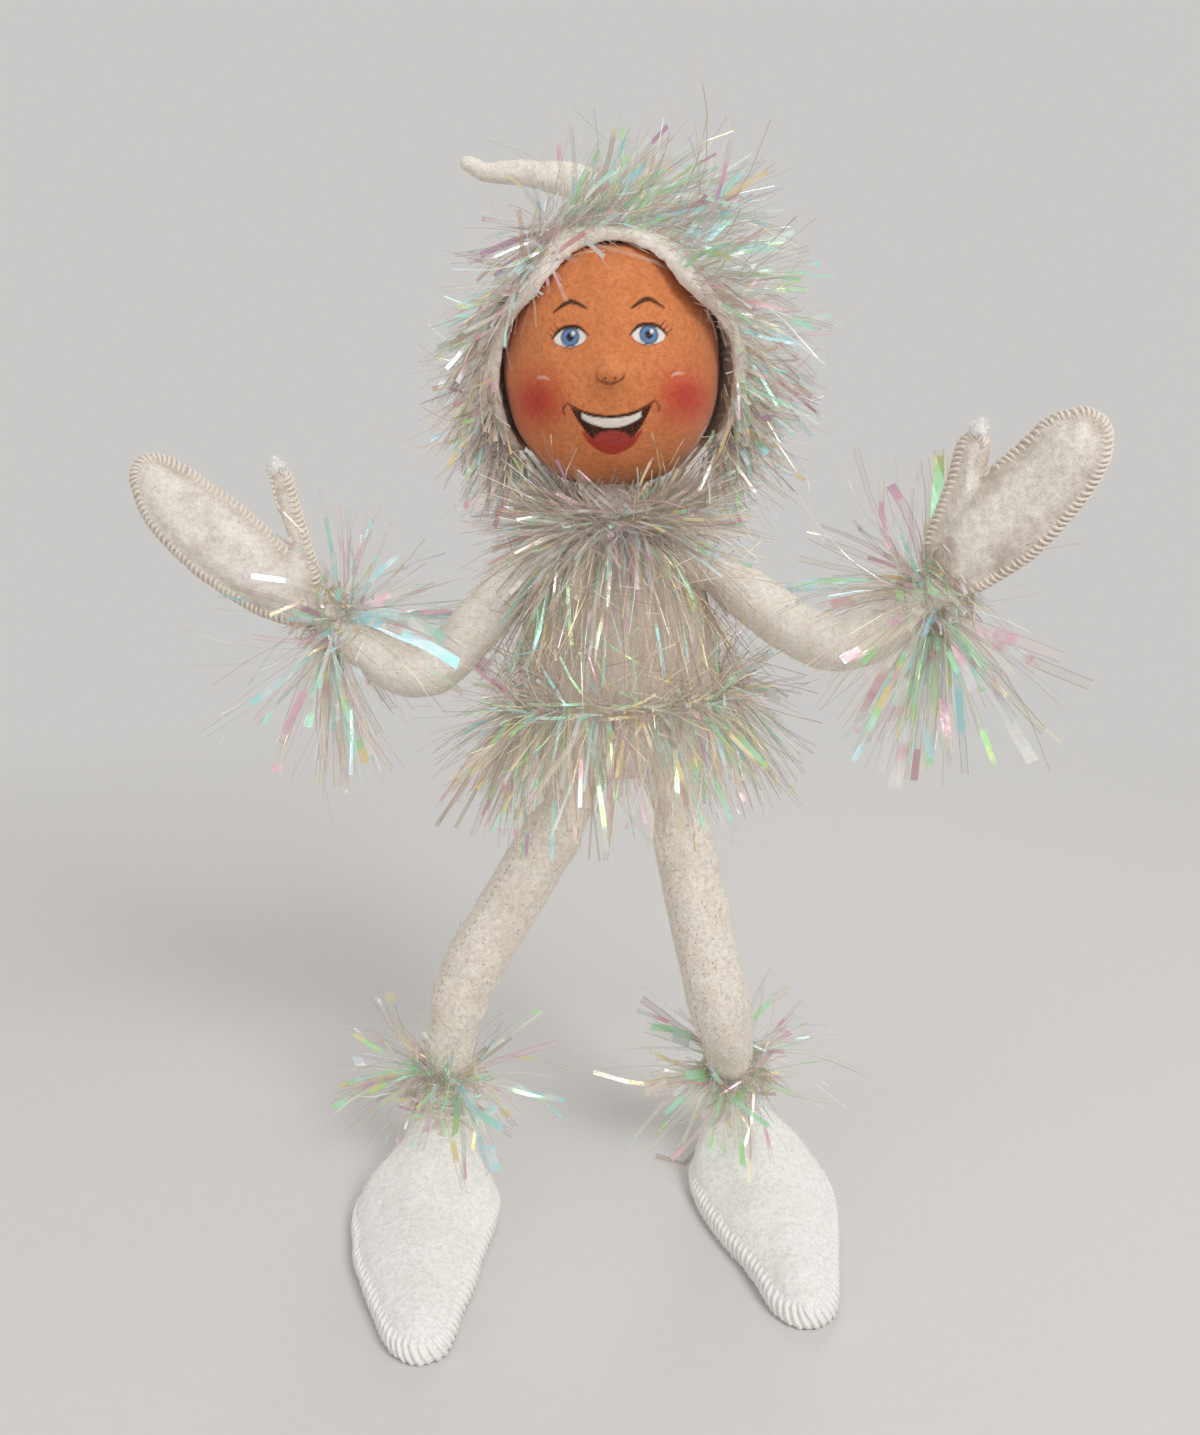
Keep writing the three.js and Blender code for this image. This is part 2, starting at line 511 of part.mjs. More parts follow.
// Arms: turned forward at the shoulder, raised outward, bent at the elbow and at the wrist.
const upperArm = { length: UPPER_ARM_LENGTH, top: ARM_RADIUS, bottom: ARM_RADIUS };
const forearm = { length: FOREARM_LENGTH, top: ARM_RADIUS, bottom: WRIST_RADIUS, round: true, gathered: true };
const knuckle = rod(WIRE_RADIUS, -KNUCKLE_LENGTH / 2, KNUCKLE_LENGTH / 2).rotateY(Math.PI / 2);
const slenderMitten = { hand: 55, bow: 2.2, thumb: 4.6, spread: 35, start: 8.5, aside: 4.2 };
const broadMitten = { hand: 47, bow: 0, thumb: 7.2, spread: 24, start: 5.5, aside: 5.7 };
for (const arm of [
  { name: "right", side: -1, forward: 8, raise: 42, elbow: 88, wrist: 3, mitten: slenderMitten },
  { name: "left", side: 1, forward: 27, raise: 56, elbow: 68, wrist: 15, mitten: broadMitten },
]) {
  const outward = degrees(-arm.side);
  const shoulder = addPivot(`${arm.name}_shoulder`, torso, arm.side * shoulderX, 0, shoulderZ);
  shoulder.rotation.z = outward * arm.forward;
  const upper = addPivot(`${arm.name}_upper_arm`, shoulder);
  upper.rotation.y = outward * arm.raise;
  const lower = addPivot(`${arm.name}_forearm`, upper, 0, 0, -UPPER_ARM_LENGTH);
  lower.rotation.y = outward * arm.elbow;
  const hand = addPivot(`${arm.name}_hand`, lower, 0, 0, -FOREARM_LENGTH);
  hand.rotation.y = outward * arm.wrist;
  const bends = [-arm.side * ELBOW_STRAIGHT, -arm.side * ELBOW_CLOSED].sort((a, b) => a - b);
  const elbowRoom = swing(ARM_RADIUS, 4 * ARM_RADIUS, "y", ...bends);
  addMesh(`${arm.name}_shoulder_bend_wire`, knuckle.clone(), steel, shoulder);
  addLimb(`${arm.name}_upper_arm`, upper, upperArm, elbowRoom.translate(0, 0, -UPPER_ARM_LENGTH));
  addLimb(`${arm.name}_forearm`, lower, forearm);
  addCuff(`${arm.name}_wrist_tinsel`, lower, forearm, 12, [
    { side: 0, length: WRIST_STRAND, fall: 8 },
    { side: 1, length: 0.87 * WRIST_STRAND, fall: 46 },
    { side: 5, length: 0.6 * WRIST_STRAND, fall: -22 },
  ]);
  addMitten(arm.name, hand, arm.side, arm.mitten);
}

// Boot: stations from heel to toe, each with its half width and its rise above the toe's height.
const bootStations = [
  [0, 0.2, 0.3], [0.05, 0.42, 0.74], [0.15, 0.55, 1], [0.24, 0.82, 0.8], [0.35, 1, 0.5],
  [0.51, 0.94, 0.28], [0.69, 0.72, 0.15], [0.86, 0.47, 0.07], [0.96, 0.28, 0.02], [1, 0.13, -0.03],
];
const ankleZ = BOOT_HEIGHT + ANKLE_GAP;
function bootPlan(inset) {
  return bootStations.map(([s, w]) => {
    const y = THREE.MathUtils.clamp(BOOT_HEEL - s * BOOT_LENGTH, BOOT_HEEL - BOOT_LENGTH + inset, BOOT_HEEL - inset);
    return [Math.max(0.4, (w * BOOT_WIDTH) / 2 - inset), y];
  });
}
function bootBody(inset, bottom) {
  const rings = bootPlan(inset).map(([half, y], k) => {
    const height = TOE_HEIGHT + bootStations[k][2] * (BOOT_HEIGHT - TOE_HEIGHT) - inset;
    const ring = [];
    for (let a = 0; a <= 180; a += 22.5) {
      const lift = bottom + (height - bottom) * Math.sin(degrees(a));
      ring.push(new THREE.Vector3(half * Math.cos(degrees(a)), y, lift - ankleZ));
    }
    return ring;
  });
  return loft(rings);
}
function bootSheet(inset, bottom, thickness) {
  const side = bootPlan(inset).map(([half, y]) => new THREE.Vector2(half, y));
  const otherSide = [...side].reverse().map((p) => new THREE.Vector2(-p.x, p.y));
  const shape = new THREE.Shape([...side, ...otherSide]);
  const sheet = new THREE.ExtrudeGeometry(shape, { depth: thickness, bevelEnabled: false });
  return sheet.translate(0, 0, bottom - ankleZ);
}
function addBoot(name, parent) {
  const inside = FELT + SEAT;
  const bore = rod(wireBore, 2 * inside - ankleZ, ankleZ);
  const mouth = bootSheet(FELT, 0, inside + SEAT);
  addMesh(`${name}_boot_upper`, cut(bootBody(0, inside), bootBody(FELT, inside), mouth, bore), whiteFelt, parent);
  addMesh(`${name}_boot_sole`, bootSheet(0, 0, FELT), whiteFelt, parent);
  addMesh(`${name}_boot_filling`, cut(bootBody(inside, inside), bore), fibre, parent);
  addMesh(`${name}_foot_wire`, rod(WIRE_RADIUS, 3 * inside - ankleZ, -HINGE_GAP), steel, parent);
}

// Legs: the right one leans out from the hip, and the left one stands so that both soles are level.
const thigh = { length: THIGH_LENGTH, top: LEG_RADIUS, bottom: LEG_RADIUS };
const shin = { length: SHIN_LENGTH, top: LEG_RADIUS, bottom: ANKLE_RADIUS, round: true, gathered: true };
const leaning = (spread, ahead) =>
  new THREE.Vector3(-Math.sin(degrees(spread)), -Math.sin(degrees(ahead)), -Math.cos(degrees(spread))).normalize();
function aim(way) {
  const z = way.clone().negate();
  const x = new THREE.Vector3(1, 0, 0).addScaledVector(z, -z.x).normalize();
  return new THREE.Quaternion().setFromRotationMatrix(new THREE.Matrix4().makeBasis(x, z.clone().cross(x), z));
}
const hipAt = (side) => new THREE.Vector3(side * hipX, 0, 0).applyEuler(torso.rotation);
const rightThigh = leaning(THIGH_SPREAD, 3);
const rightShin = leaning(SHIN_SPREAD, 1);
const rightAnkle = hipAt(-1).addScaledVector(rightThigh, THIGH_LENGTH).addScaledVector(rightShin, SHIN_LENGTH);
const leftAnkle = rightAnkle.clone().add(new THREE.Vector3(STANCE_WIDTH, STANCE_BACK, 0));
const reach = leftAnkle.clone().sub(hipAt(1));
const span = Math.min(reach.length(), THIGH_LENGTH + SHIN_LENGTH);
const straight = reach.clone().normalize();
const hipAngle = Math.acos(
  THREE.MathUtils.clamp((THIGH_LENGTH ** 2 + span ** 2 - SHIN_LENGTH ** 2) / (2 * THIGH_LENGTH * span), -1, 1),
);
const forward = new THREE.Vector3(0, -1, 0).addScaledVector(straight, straight.y).normalize();
const leftThigh = straight.clone().multiplyScalar(Math.cos(hipAngle)).addScaledVector(forward, Math.sin(hipAngle));
const leftShin = reach.clone().addScaledVector(leftThigh, -THIGH_LENGTH).normalize();
for (const leg of [
  { name: "right", side: -1, thighWay: rightThigh, shinWay: rightShin, turn: 7 },
  { name: "left", side: 1, thighWay: leftThigh, shinWay: leftShin, turn: 11 },
]) {
  const hip = addPivot(`${leg.name}_hip`, torso, leg.side * hipX, 0, 0);
  hip.rotation.y = degrees(TORSO_LEAN);
  const upper = addPivot(`${leg.name}_thigh`, hip);
  upper.quaternion.copy(aim(leg.thighWay));
  const lower = addPivot(`${leg.name}_shin`, upper, 0, 0, -THIGH_LENGTH);
  lower.quaternion.copy(aim(leg.thighWay).invert().multiply(aim(leg.shinWay)));
  lower.updateMatrix();
  const foot = addPivot(`${leg.name}_foot`, lower, 0, 0, -SHIN_LENGTH);
  const level = new THREE.Quaternion().setFromAxisAngle(new THREE.Vector3(0, 0, 1), degrees(leg.turn));
  foot.quaternion.copy(aim(leg.shinWay).invert().multiply(level));
  const kneeRoom = swing(LEG_RADIUS, 4 * LEG_RADIUS, "x", -KNEE_FORWARD, KNEE_BACK);
  addMesh(`${leg.name}_hip_bend_wire`, knuckle.clone(), steel, hip);
  addLimb(`${leg.name}_thigh`, upper, thigh, kneeRoom.applyMatrix4(lower.matrix));
  addLimb(`${leg.name}_shin`, lower, shin);
  addCuff(`${leg.name}_ankle_tinsel`, lower, shin, 13, [
    { side: 0, length: 0.9 * ANKLE_STRAND, fall: 14 },
    { side: 1, length: ANKLE_STRAND, fall: 48 },
  ]);
  addBoot(leg.name, foot);
}

// The origin is at the middle of the footprint, on the floor.
const stand = new THREE.Group();
stand.add(doll);
stand.updateMatrixWorld(true);
const box = new THREE.Box3().setFromObject(stand, true);
doll.position.set(-(box.min.x + box.max.x) / 2, -(box.min.y + box.max.y) / 2, -box.min.z);
stand.updateMatrixWorld(true);

export default stand;
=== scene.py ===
"""Felt elf doll: stuffed felt body and limbs, hood, mittens, boots and rings of iridescent tinsel."""
import json
import math
from functools import partial
import bmesh
import bpy
import numpy as np
from mathutils import Matrix, Vector, noise
from mathutils.bvhtree import BVHTree

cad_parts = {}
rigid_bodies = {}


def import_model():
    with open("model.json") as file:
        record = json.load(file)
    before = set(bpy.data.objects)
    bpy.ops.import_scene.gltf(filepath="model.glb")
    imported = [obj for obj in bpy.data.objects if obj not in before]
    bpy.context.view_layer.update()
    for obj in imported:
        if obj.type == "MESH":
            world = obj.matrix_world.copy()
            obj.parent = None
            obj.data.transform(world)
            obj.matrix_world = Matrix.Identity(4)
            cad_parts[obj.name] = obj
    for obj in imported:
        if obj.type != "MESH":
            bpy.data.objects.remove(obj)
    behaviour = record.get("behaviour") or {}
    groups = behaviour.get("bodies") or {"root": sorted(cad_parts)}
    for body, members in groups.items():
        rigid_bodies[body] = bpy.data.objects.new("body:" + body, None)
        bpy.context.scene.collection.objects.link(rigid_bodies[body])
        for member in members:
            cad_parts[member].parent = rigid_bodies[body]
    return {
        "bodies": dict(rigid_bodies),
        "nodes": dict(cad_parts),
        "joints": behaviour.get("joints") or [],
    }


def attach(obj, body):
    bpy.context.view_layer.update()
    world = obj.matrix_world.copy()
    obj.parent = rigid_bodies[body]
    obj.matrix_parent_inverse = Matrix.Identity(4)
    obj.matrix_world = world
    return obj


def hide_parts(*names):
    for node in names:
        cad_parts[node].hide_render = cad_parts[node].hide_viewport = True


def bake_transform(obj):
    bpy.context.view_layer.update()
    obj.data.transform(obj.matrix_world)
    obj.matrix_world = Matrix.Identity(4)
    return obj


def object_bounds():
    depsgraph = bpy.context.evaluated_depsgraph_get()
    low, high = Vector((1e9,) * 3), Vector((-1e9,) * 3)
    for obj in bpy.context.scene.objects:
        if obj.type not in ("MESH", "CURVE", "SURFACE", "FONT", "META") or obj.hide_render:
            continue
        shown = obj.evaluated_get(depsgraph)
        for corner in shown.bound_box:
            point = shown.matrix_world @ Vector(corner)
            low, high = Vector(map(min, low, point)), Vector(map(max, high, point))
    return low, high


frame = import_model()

kept = {o.name for o in [*frame["nodes"].values(), *frame["bodies"].values()]}
for extra in [o for o in bpy.data.objects if o.name not in kept]:
    bpy.data.objects.remove(extra)
cad_box = [list(corner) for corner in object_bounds()]

# Driving sizes: radii of the sleeves, and widths, depths and heights of the stuffed forms
MM = 0.001
SIDES = ("right", "left")
ARM = 6.3 * MM
WRIST = 5.2 * MM
LEG = 7.5 * MM
ANKLE = 6.2 * MM
TORSO = (47 * MM, 37 * MM, 62 * MM)
TORSO_DROP = 8 * MM
HEAD = (50 * MM, 47 * MM, 55 * MM)
HOOD_GAP = 0.5 * MM
HOOD_WALL = 2.7 * MM
HOOD_FRONT = 9 * MM
HOOD_TILT = math.radians(14)
HOOD_HEM = 9 * MM
BOOT = (36 * MM, 80 * MM, 21 * MM)
BOOT_HEEL = 12 * MM
BOOT_TOE = 7 * MM
STRAY = 8 * MM  # how far a strand may stand out of the doll's overall box

rng = np.random.default_rng(12)
joints = {j["name"]: j for j in frame["joints"]}
scene = bpy.context.scene


def pivot(name):
    return Vector(joints[name]["pos_m"])


def axis(name):
    return Vector(joints[name]["axis"]).normalized()


def upright(origin, up):
    """A frame at origin whose Z is up and whose X stays close to the world's."""
    z = up.normalized()
    x = Vector((1, 0, 0))
    x = (x - z * x.dot(z)).normalized()
    m = Matrix((x, z.cross(x), z)).transposed().to_4x4()
    m.translation = origin
    return m


torso_frame = upright((pivot("right_hip_swing") + pivot("left_hip_swing")) / 2, axis("head_turn"))
head_frame = upright(pivot("head_turn"), axis("head_turn"))


# Materials
class Nodes:
    """The nodes of a material or of the world, made and linked by name."""

    def __init__(self, owner):
        self.owner = owner
        owner.use_nodes = True
        self.tree = owner.node_tree

    def put(self, socket, value):
        """Links an input to an output, or sets it to a number, a vector or a colour."""
        if isinstance(value, bpy.types.NodeSocket):
            self.tree.links.new(value, socket)
        elif isinstance(value, (float, int)):
            socket.default_value = value
        else:
            socket.default_value = (*value, 1)[:len(socket.default_value)]

    def add(self, kind, *values, settings=None, **inputs):
        """A node with its settings, its first inputs in order and others by name."""
        node = self.tree.nodes.new("ShaderNode" + kind)
        for key, value in (settings or {}).items():
            setattr(node, key, value)
        for socket, value in zip(node.inputs, values):
            self.put(socket, value)
        for key, value in inputs.items():
            self.put(node.inputs[key.replace("_", " ")], value)
        return node

    def math(self, operation, *values):
        return self.add("Math", *values, settings={"operation": operation}).outputs[0]


class Finish(Nodes):
    """A material whose patterns are placed by object coordinates."""

    def __init__(self, name):
        super().__init__(bpy.data.materials.new(name))
        self.shader = self.tree.nodes["Principled BSDF"]
        self.place = self.add("TexCoord").outputs["Object"]

    def noise(self, scale, detail=3.0, rough=0.55, stretch=None):
        place = self.place
        if stretch:
            place = self.add("Mapping", Vector=place, Scale=stretch).outputs["Vector"]
        return self.add("TexNoise", Vector=place, Scale=scale, Detail=detail, Roughness=rough).outputs["Fac"]

    def ramp(self, value, low, high, start=0.0, end=1.0):
        node = self.add("MapRange", settings={"interpolation_type": "SMOOTHSTEP"}, Value=value,
                        From_Min=low, From_Max=high, To_Min=start, To_Max=end)
        return node.outputs["Result"]

    def mix(self, factor, a, b):
        node = self.add("Mix", factor, settings={"data_type": "RGBA"})
        self.put(node.inputs[6], a)
        self.put(node.inputs[7], b)
        return node.outputs[2]

    def bump(self, height, strength, distance, **under):
        node = self.add("Bump", Height=height, Strength=strength, Distance=distance, **under)
        return node.outputs["Normal"]

    def set(self, **values):
        for key, value in values.items():
            self.put(self.shader.inputs[key.replace("_", " ")], value)
        return self.owner


def scaled(colour, by):
    return tuple(min(1.0, by * c) for c in colour)


def felt(name, light, dark, specks=0.0, patch_tint=None, paint=False, mottle=1.0):
    """Pressed wool: woolly mottling, fine crossing fibres, a soft nap, and specks where it is worn."""
    n = Finish(name)
    fibres = n.noise(2400, 4, 0.7)
    wool = n.noise(820, 4, 0.65)
    strands = n.noise(1500, 3, 0.6, stretch=(1, 1, 0.3))
    colour = n.mix(n.ramp(n.noise(130, 3, 0.6), 0.3, 0.75, 0.0, 0.6), light, dark)
    if patch_tint:
        colour = n.mix(n.ramp(n.noise(55, 4, 0.6), 0.52, 0.8, 0.0, 0.5), colour, patch_tint)
    colour = n.mix(n.ramp(wool, 0.4, 0.68, 0.0, 0.5 * mottle), colour, scaled(dark, 0.84))
    colour = n.mix(n.ramp(strands, 0.45, 0.75, 0.0, 0.4), colour, scaled(light, 1.06))
    colour = n.mix(n.ramp(fibres, 0.4, 0.72, 0.0, 0.35 * mottle), colour, scaled(dark, 0.72))
    if specks:
        dots = n.add("TexVoronoi", Vector=n.place, Scale=800).outputs
        near = n.ramp(dots["Distance"], 0.08, 0.26, 0.65, 0.0)
        some = n.math("GREATER_THAN", dots["Color"], 1 - specks)
        colour = n.mix(n.math("MULTIPLY", near, some), colour, (0.2, 0.15, 0.11))
    if paint:
        brush = n.add("VertexColor", settings={"layer_name": "paint"}).outputs
        cover = n.math("MULTIPLY", brush["Alpha"], n.ramp(fibres, 0.25, 0.6, 0.74, 1.0))
        colour = n.mix(cover, colour, brush["Color"])
    nap = n.bump(wool, 0.5, 0.6 * MM)
    nap = n.bump(strands, 0.3, 0.3 * MM, Normal=nap)
    nap = n.bump(fibres, 0.5, 0.2 * MM, Normal=nap)
    n.set(Base_Color=colour, Normal=nap, Roughness=n.ramp(fibres, 0.2, 0.8, 0.86, 1.0))
    return n.set(Sheen_Weight=0.3, Sheen_Roughness=0.4, Specular_IOR_Level=0.15)


def film(name, clear, glint_colours, share, body=0.24, rim=0.68, gloss=0.28, metal=0.55, film_depth=460.0):
    """Thin iridescent film: see-through with visible edges, and painted glints, patches whose colour changes
    along it, set into the base colour in place of reflected light.
    """
    n = Finish(name)
    strip = n.add("UVMap", settings={"uv_map": "strip"}).outputs[0]
    across, down = n.add("SeparateXYZ", strip).outputs[:2]

    def along(scale, shift):
        place = n.math("MULTIPLY_ADD", down, scale, shift)
        node = n.add("TexNoise", settings={"noise_dimensions": "1D"}, W=place, Scale=1.0, Detail=1.0)
        return node.outputs["Fac"]

    # Painted glints: patches along each strip take bright glint colours and turn opaque and metallic, in
    # place of reflected light
    painted_glint = n.ramp(along(0.55, 0.0), 0.58 - share, 0.66 - share)
    glint_hue = n.add("ValToRGB", along(0.8, 40.0))
    stops = glint_hue.color_ramp.elements
    while len(stops) < len(glint_colours):
        stops.new(0.5)
    for k, colour in enumerate(glint_colours):
        stops[k].position = 0.3 + 0.4 * k / max(1, len(glint_colours) - 1)
        stops[k].color = (*colour, 1)
    line = n.ramp(n.math("PINGPONG", across, 0.5), 0.05, 0.17, 1.0, 0.0)
    colour = n.mix(line, clear, scaled(clear, 0.66))
    colour = n.mix(painted_glint, colour, glint_hue.outputs["Color"])
    cover = n.math("MAXIMUM", n.ramp(line, 0.0, 1.0, body, rim), n.ramp(painted_glint, 0.0, 1.0, 0.0, 0.85))
    shade = n.ramp(n.add("LightPath").outputs["Is Shadow Ray"], 0.0, 1.0, 1.0, 0.3)
    crease = n.noise(700, 2, 0.5)
    n.set(Base_Color=colour, Alpha=n.math("MULTIPLY", cover, shade))
    n.set(Roughness=n.ramp(crease, 0.3, 0.7, gloss, gloss + 0.12), Normal=n.bump(crease, 0.25, 0.3 * MM))
    n.set(Metallic=n.ramp(painted_glint, 0.0, 1.0, 0.0, metal))
    return n.set(Specular_IOR_Level=0.3, Thin_Film_Thickness=film_depth, Thin_Film_IOR=1.6)


def steel():
    n = Finish("annealed_wire")
    marks = n.noise(900, 3, 0.6)
    n.set(Base_Color=n.mix(marks, (0.3, 0.3, 0.31), (0.16, 0.15, 0.15)), Metallic=1.0)
    return n.set(Roughness=n.ramp(marks, 0.3, 0.7, 0.3, 0.55), Normal=n.bump(marks, 0.2, 0.1 * MM))


def cotton(name, low, high):
    n = Finish(name)
    ply = n.add("TexWave", Vector=n.place, Scale=900, Distortion=2).outputs["Fac"]
    # The thread's colour follows the ply's bump, darker in the grooves between plies: painted shade there
    n.set(Base_Color=n.mix(ply, low, high), Roughness=n.ramp(n.noise(1500), 0.3, 0.7, 0.75, 0.95))
    return n.set(Normal=n.bump(ply, 0.4, 0.1 * MM), Sheen_Weight=0.2)


CREAM = felt("cream_felt", (0.92, 0.87, 0.8), (0.81, 0.74, 0.66), 0.06, (0.68, 0.59, 0.5), mottle=1.3)
STAINED = felt("stained_felt", (0.94, 0.9, 0.85), (0.8, 0.73, 0.65), 0.12, (0.6, 0.51, 0.43), True, 1.4)
WORN = felt("worn_felt", (0.92, 0.86, 0.79), (0.78, 0.7, 0.61), 0.45, (0.58, 0.48, 0.39), mottle=1.8)
# Torso felt: a darker, warmer copy of the cream felt, painted shade of the tinsel over the torso
TORSO_SHADED_FELT = felt("veiled_felt", (0.88, 0.8, 0.72), (0.76, 0.67, 0.58), 0.05, (0.62, 0.52, 0.43), True, 1.4)
BRIGHT = felt("bright_felt", (0.97, 0.96, 0.93), (0.88, 0.86, 0.82), 0.04, mottle=1.3)
SKIN = felt("face_felt_painted", (0.76, 0.28, 0.11), (0.64, 0.2, 0.07), 0.0, (0.5, 0.14, 0.05), True, 1.5)
STEEL = steel()
COTTON = cotton("cream_thread", (0.72, 0.64, 0.55), (0.88, 0.81, 0.73))
WHITE_COTTON = cotton("white_thread", (0.86, 0.84, 0.8), (0.96, 0.95, 0.93))
TAN_COTTON = cotton("tan_thread", (0.42, 0.33, 0.25), (0.6, 0.5, 0.4))
# Glint colours of the films: painted reflections
ice, sky, mint, leaf = (0.9, 0.98, 1.0), (0.5, 0.92, 1.0), (0.6, 1.0, 0.84), (0.54, 0.95, 0.42)
gold, rose, plum, pearl = (1.0, 0.82, 0.4), (0.86, 0.5, 0.6), (0.62, 0.38, 0.56), (0.95, 0.92, 0.88)
FILMS = [
    film("film_hair", (0.73, 0.6, 0.52), (pearl, ice), 0.04, 0.65, 0.65, 0.3, 0.2),
    # A darker copy of the hair film, for strands over the torso and in shade: painted shade
    film("film_haze", (0.5, 0.37, 0.3), (pearl, gold), 0.03, 0.6, 0.6, 0.3, 0.2),
    film("film_clear", (0.75, 0.63, 0.57), (pearl, rose, ice), 0.02),
    film("film_cyan", (0.74, 0.7, 0.67), (mint, sky, ice, sky), 0.1, film_depth=420.0),
    film("film_green", (0.73, 0.68, 0.55), (gold, leaf, mint, leaf), 0.1, film_depth=420.0),
    film("film_pink", (0.7, 0.53, 0.56), (rose, plum, rose), 0.06, 0.34, film_depth=500.0),
    film("film_gold", (0.76, 0.65, 0.52), (rose, gold, pearl, gold), 0.08),
    film("film_pearl", (0.84, 0.8, 0.77), (ice, pearl, mint), 0.11, film_depth=430.0),
]


# Meshes
def piece(name, verts, faces, *materials):
    mesh = bpy.data.meshes.new(name)
    mesh.from_pydata(np.asarray(verts).tolist(), [], faces)
    mesh.update()
    mesh.shade_smooth()
    obj = bpy.data.objects.new(name, mesh)
    scene.collection.objects.link(obj)
    for m in materials:
        mesh.materials.append(m)
    return obj


def stuffed(obj, fill, slot, *nodes):
    """Hides the solids that a stuffed felt piece stands for."""
    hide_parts(*nodes)


def points_of(obj):
    return np.array([tuple(v.co) for v in obj.data.vertices])


def paint(obj, colours):
    """Keeps a colour and its cover at each vertex for the felt's paint."""
    layer = obj.data.color_attributes.new("paint", "FLOAT_COLOR", "POINT")
    layer.data.foreach_set("color", colours.ravel())


def patch_tint(colour, cover):
    return np.column_stack([np.tile(colour, (len(cover), 1)), cover])


def grid(rows, columns, closed=True):
    faces = []
    for i in range(rows - 1):
        for j in range(columns if closed else columns - 1):
            a, b = i * columns + j, i * columns + (j + 1) % columns
            faces.append((a, b, b + columns, a + columns))
    return faces


def loft(rows, columns):
    """Faces over rings of points, with both ends closed."""
    last = (rows - 1) * columns
    return [*grid(rows, columns), tuple(reversed(range(columns))), tuple(range(last, last + columns))]


def merged(parts):
    """The vertices and faces of several meshes as one."""
    verts, faces = [], []
    for v, f in parts:
        start = len(verts)
        faces.extend(tuple(start + k for k in face) for face in f)
        verts.extend(np.asarray(v).tolist())
    return verts, faces


def outline(form, count):
    """A smooth curve through the points of a unit form."""
    p = np.array([form[0], *form, form[-1]], float)
    t = np.linspace(0, len(form) - 1, count)
    k = np.minimum(t.astype(int), len(form) - 2)
    f = (t - k)[:, None]
    a, b, c, d = p[k], p[k + 1], p[k + 2], p[k + 3]
    return 0.5 * (2 * b + (c - a) * f + (2 * a - 5 * b + 4 * c - d) * f**2 + (3 * b - a - 3 * c + d) * f**3)


# Half width and height of the stuffed forms, as shares of their sizes
TORSO_FORM = [[0, 0], [0.48, 0.02], [0.82, 0.13], [1, 0.36], [0.93, 0.62], [0.74, 0.83], [0.36, 0.97], [0, 1]]
HEAD_FORM = [[0, 0], [0.5, 0.045], [0.87, 0.22], [1, 0.46], [0.93, 0.7], [0.62, 0.92], [0, 1]]


def egg(form, size, rows, proud=0.0):
    """Half widths, half depths and heights of a stuffed egg form."""
    p = np.clip(outline(form, rows), 0, None)
    z = np.minimum(p[:, 1], 1) * (size[2] + 2 * proud) - proud
    return p[:, 0] * (size[0] / 2 + proud), p[:, 0] * (size[1] / 2 + proud), z


def to_world(m, points):
    m = np.array(m)
    return np.asarray(points) @ m[:3, :3].T + m[:3, 3]


def rough(obj, *octaves):
    """Moves the surface in and out by soft noise: (height, size) in millimetres."""
    octaves = [(h * MM, s * MM) for h, s in octaves]
    normals = [v.normal.copy() for v in obj.data.vertices]
    for v, n in zip(obj.data.vertices, normals):
        v.co += n * sum(h * noise.noise(v.co / s + Vector((3 * s / MM, 0, 0))) for h, s in octaves)
    obj.data.update()


def largest(obj):
    """Keeps the outer skin: the loose part with the widest reach."""
    bm = bmesh.new()
    bm.from_mesh(obj.data)
    left = set(bm.verts)
    parts = []
    while left:
        found, todo = set(), [left.pop()]
        while todo:
            v = todo.pop()
            found.add(v)
            for e in v.link_edges:
                o = e.other_vert(v)
                if o in left:
                    left.discard(o)
                    todo.append(o)
        parts.append(found)
    parts.sort(key=lambda part: -max((v.co - next(iter(part)).co).length for v in part) - 1e-6 * len(part))
    bmesh.ops.delete(bm, geom=[v for part in parts[1:] for v in part], context="VERTS")
    bm.to_mesh(obj.data)
    bm.free()
    obj.data.shade_smooth()
    return obj


def fused(name, parts, voxel, soften, material):
    """One felt skin over several overlapping closed meshes."""
    obj = piece(name, *merged(parts))
    remesh = obj.modifiers.new("remesh", "REMESH")
    remesh.mode = "VOXEL"
    remesh.voxel_size = voxel
    smooth = obj.modifiers.new("smooth", "SMOOTH")
    smooth.factor = 0.5
    smooth.iterations = soften
    made = bpy.data.meshes.new_from_object(obj.evaluated_get(bpy.context.evaluated_depsgraph_get()))
    obj.modifiers.clear()
    obj.data = made
    made.materials.append(material)
    return largest(obj)


def node_mesh(name):
    mesh = frame["nodes"][name].data
    return [v.co[:] for v in mesh.vertices], [tuple(p.vertices) for p in mesh.polygons]


def rounded(points, turn):
    """A path with its inner corners rounded over the length turn."""
    out = [points[0]]
    for before, corner, after in zip(points, points[1:], points[2:]):
        a = corner + (before - corner).normalized() * turn
        b = corner + (after - corner).normalized() * turn
        for t in np.linspace(0, 1, 12):
            out.append(a * (1 - t) ** 2 + corner * 2 * t * (1 - t) + b * t**2)
    return [*out, points[-1]]


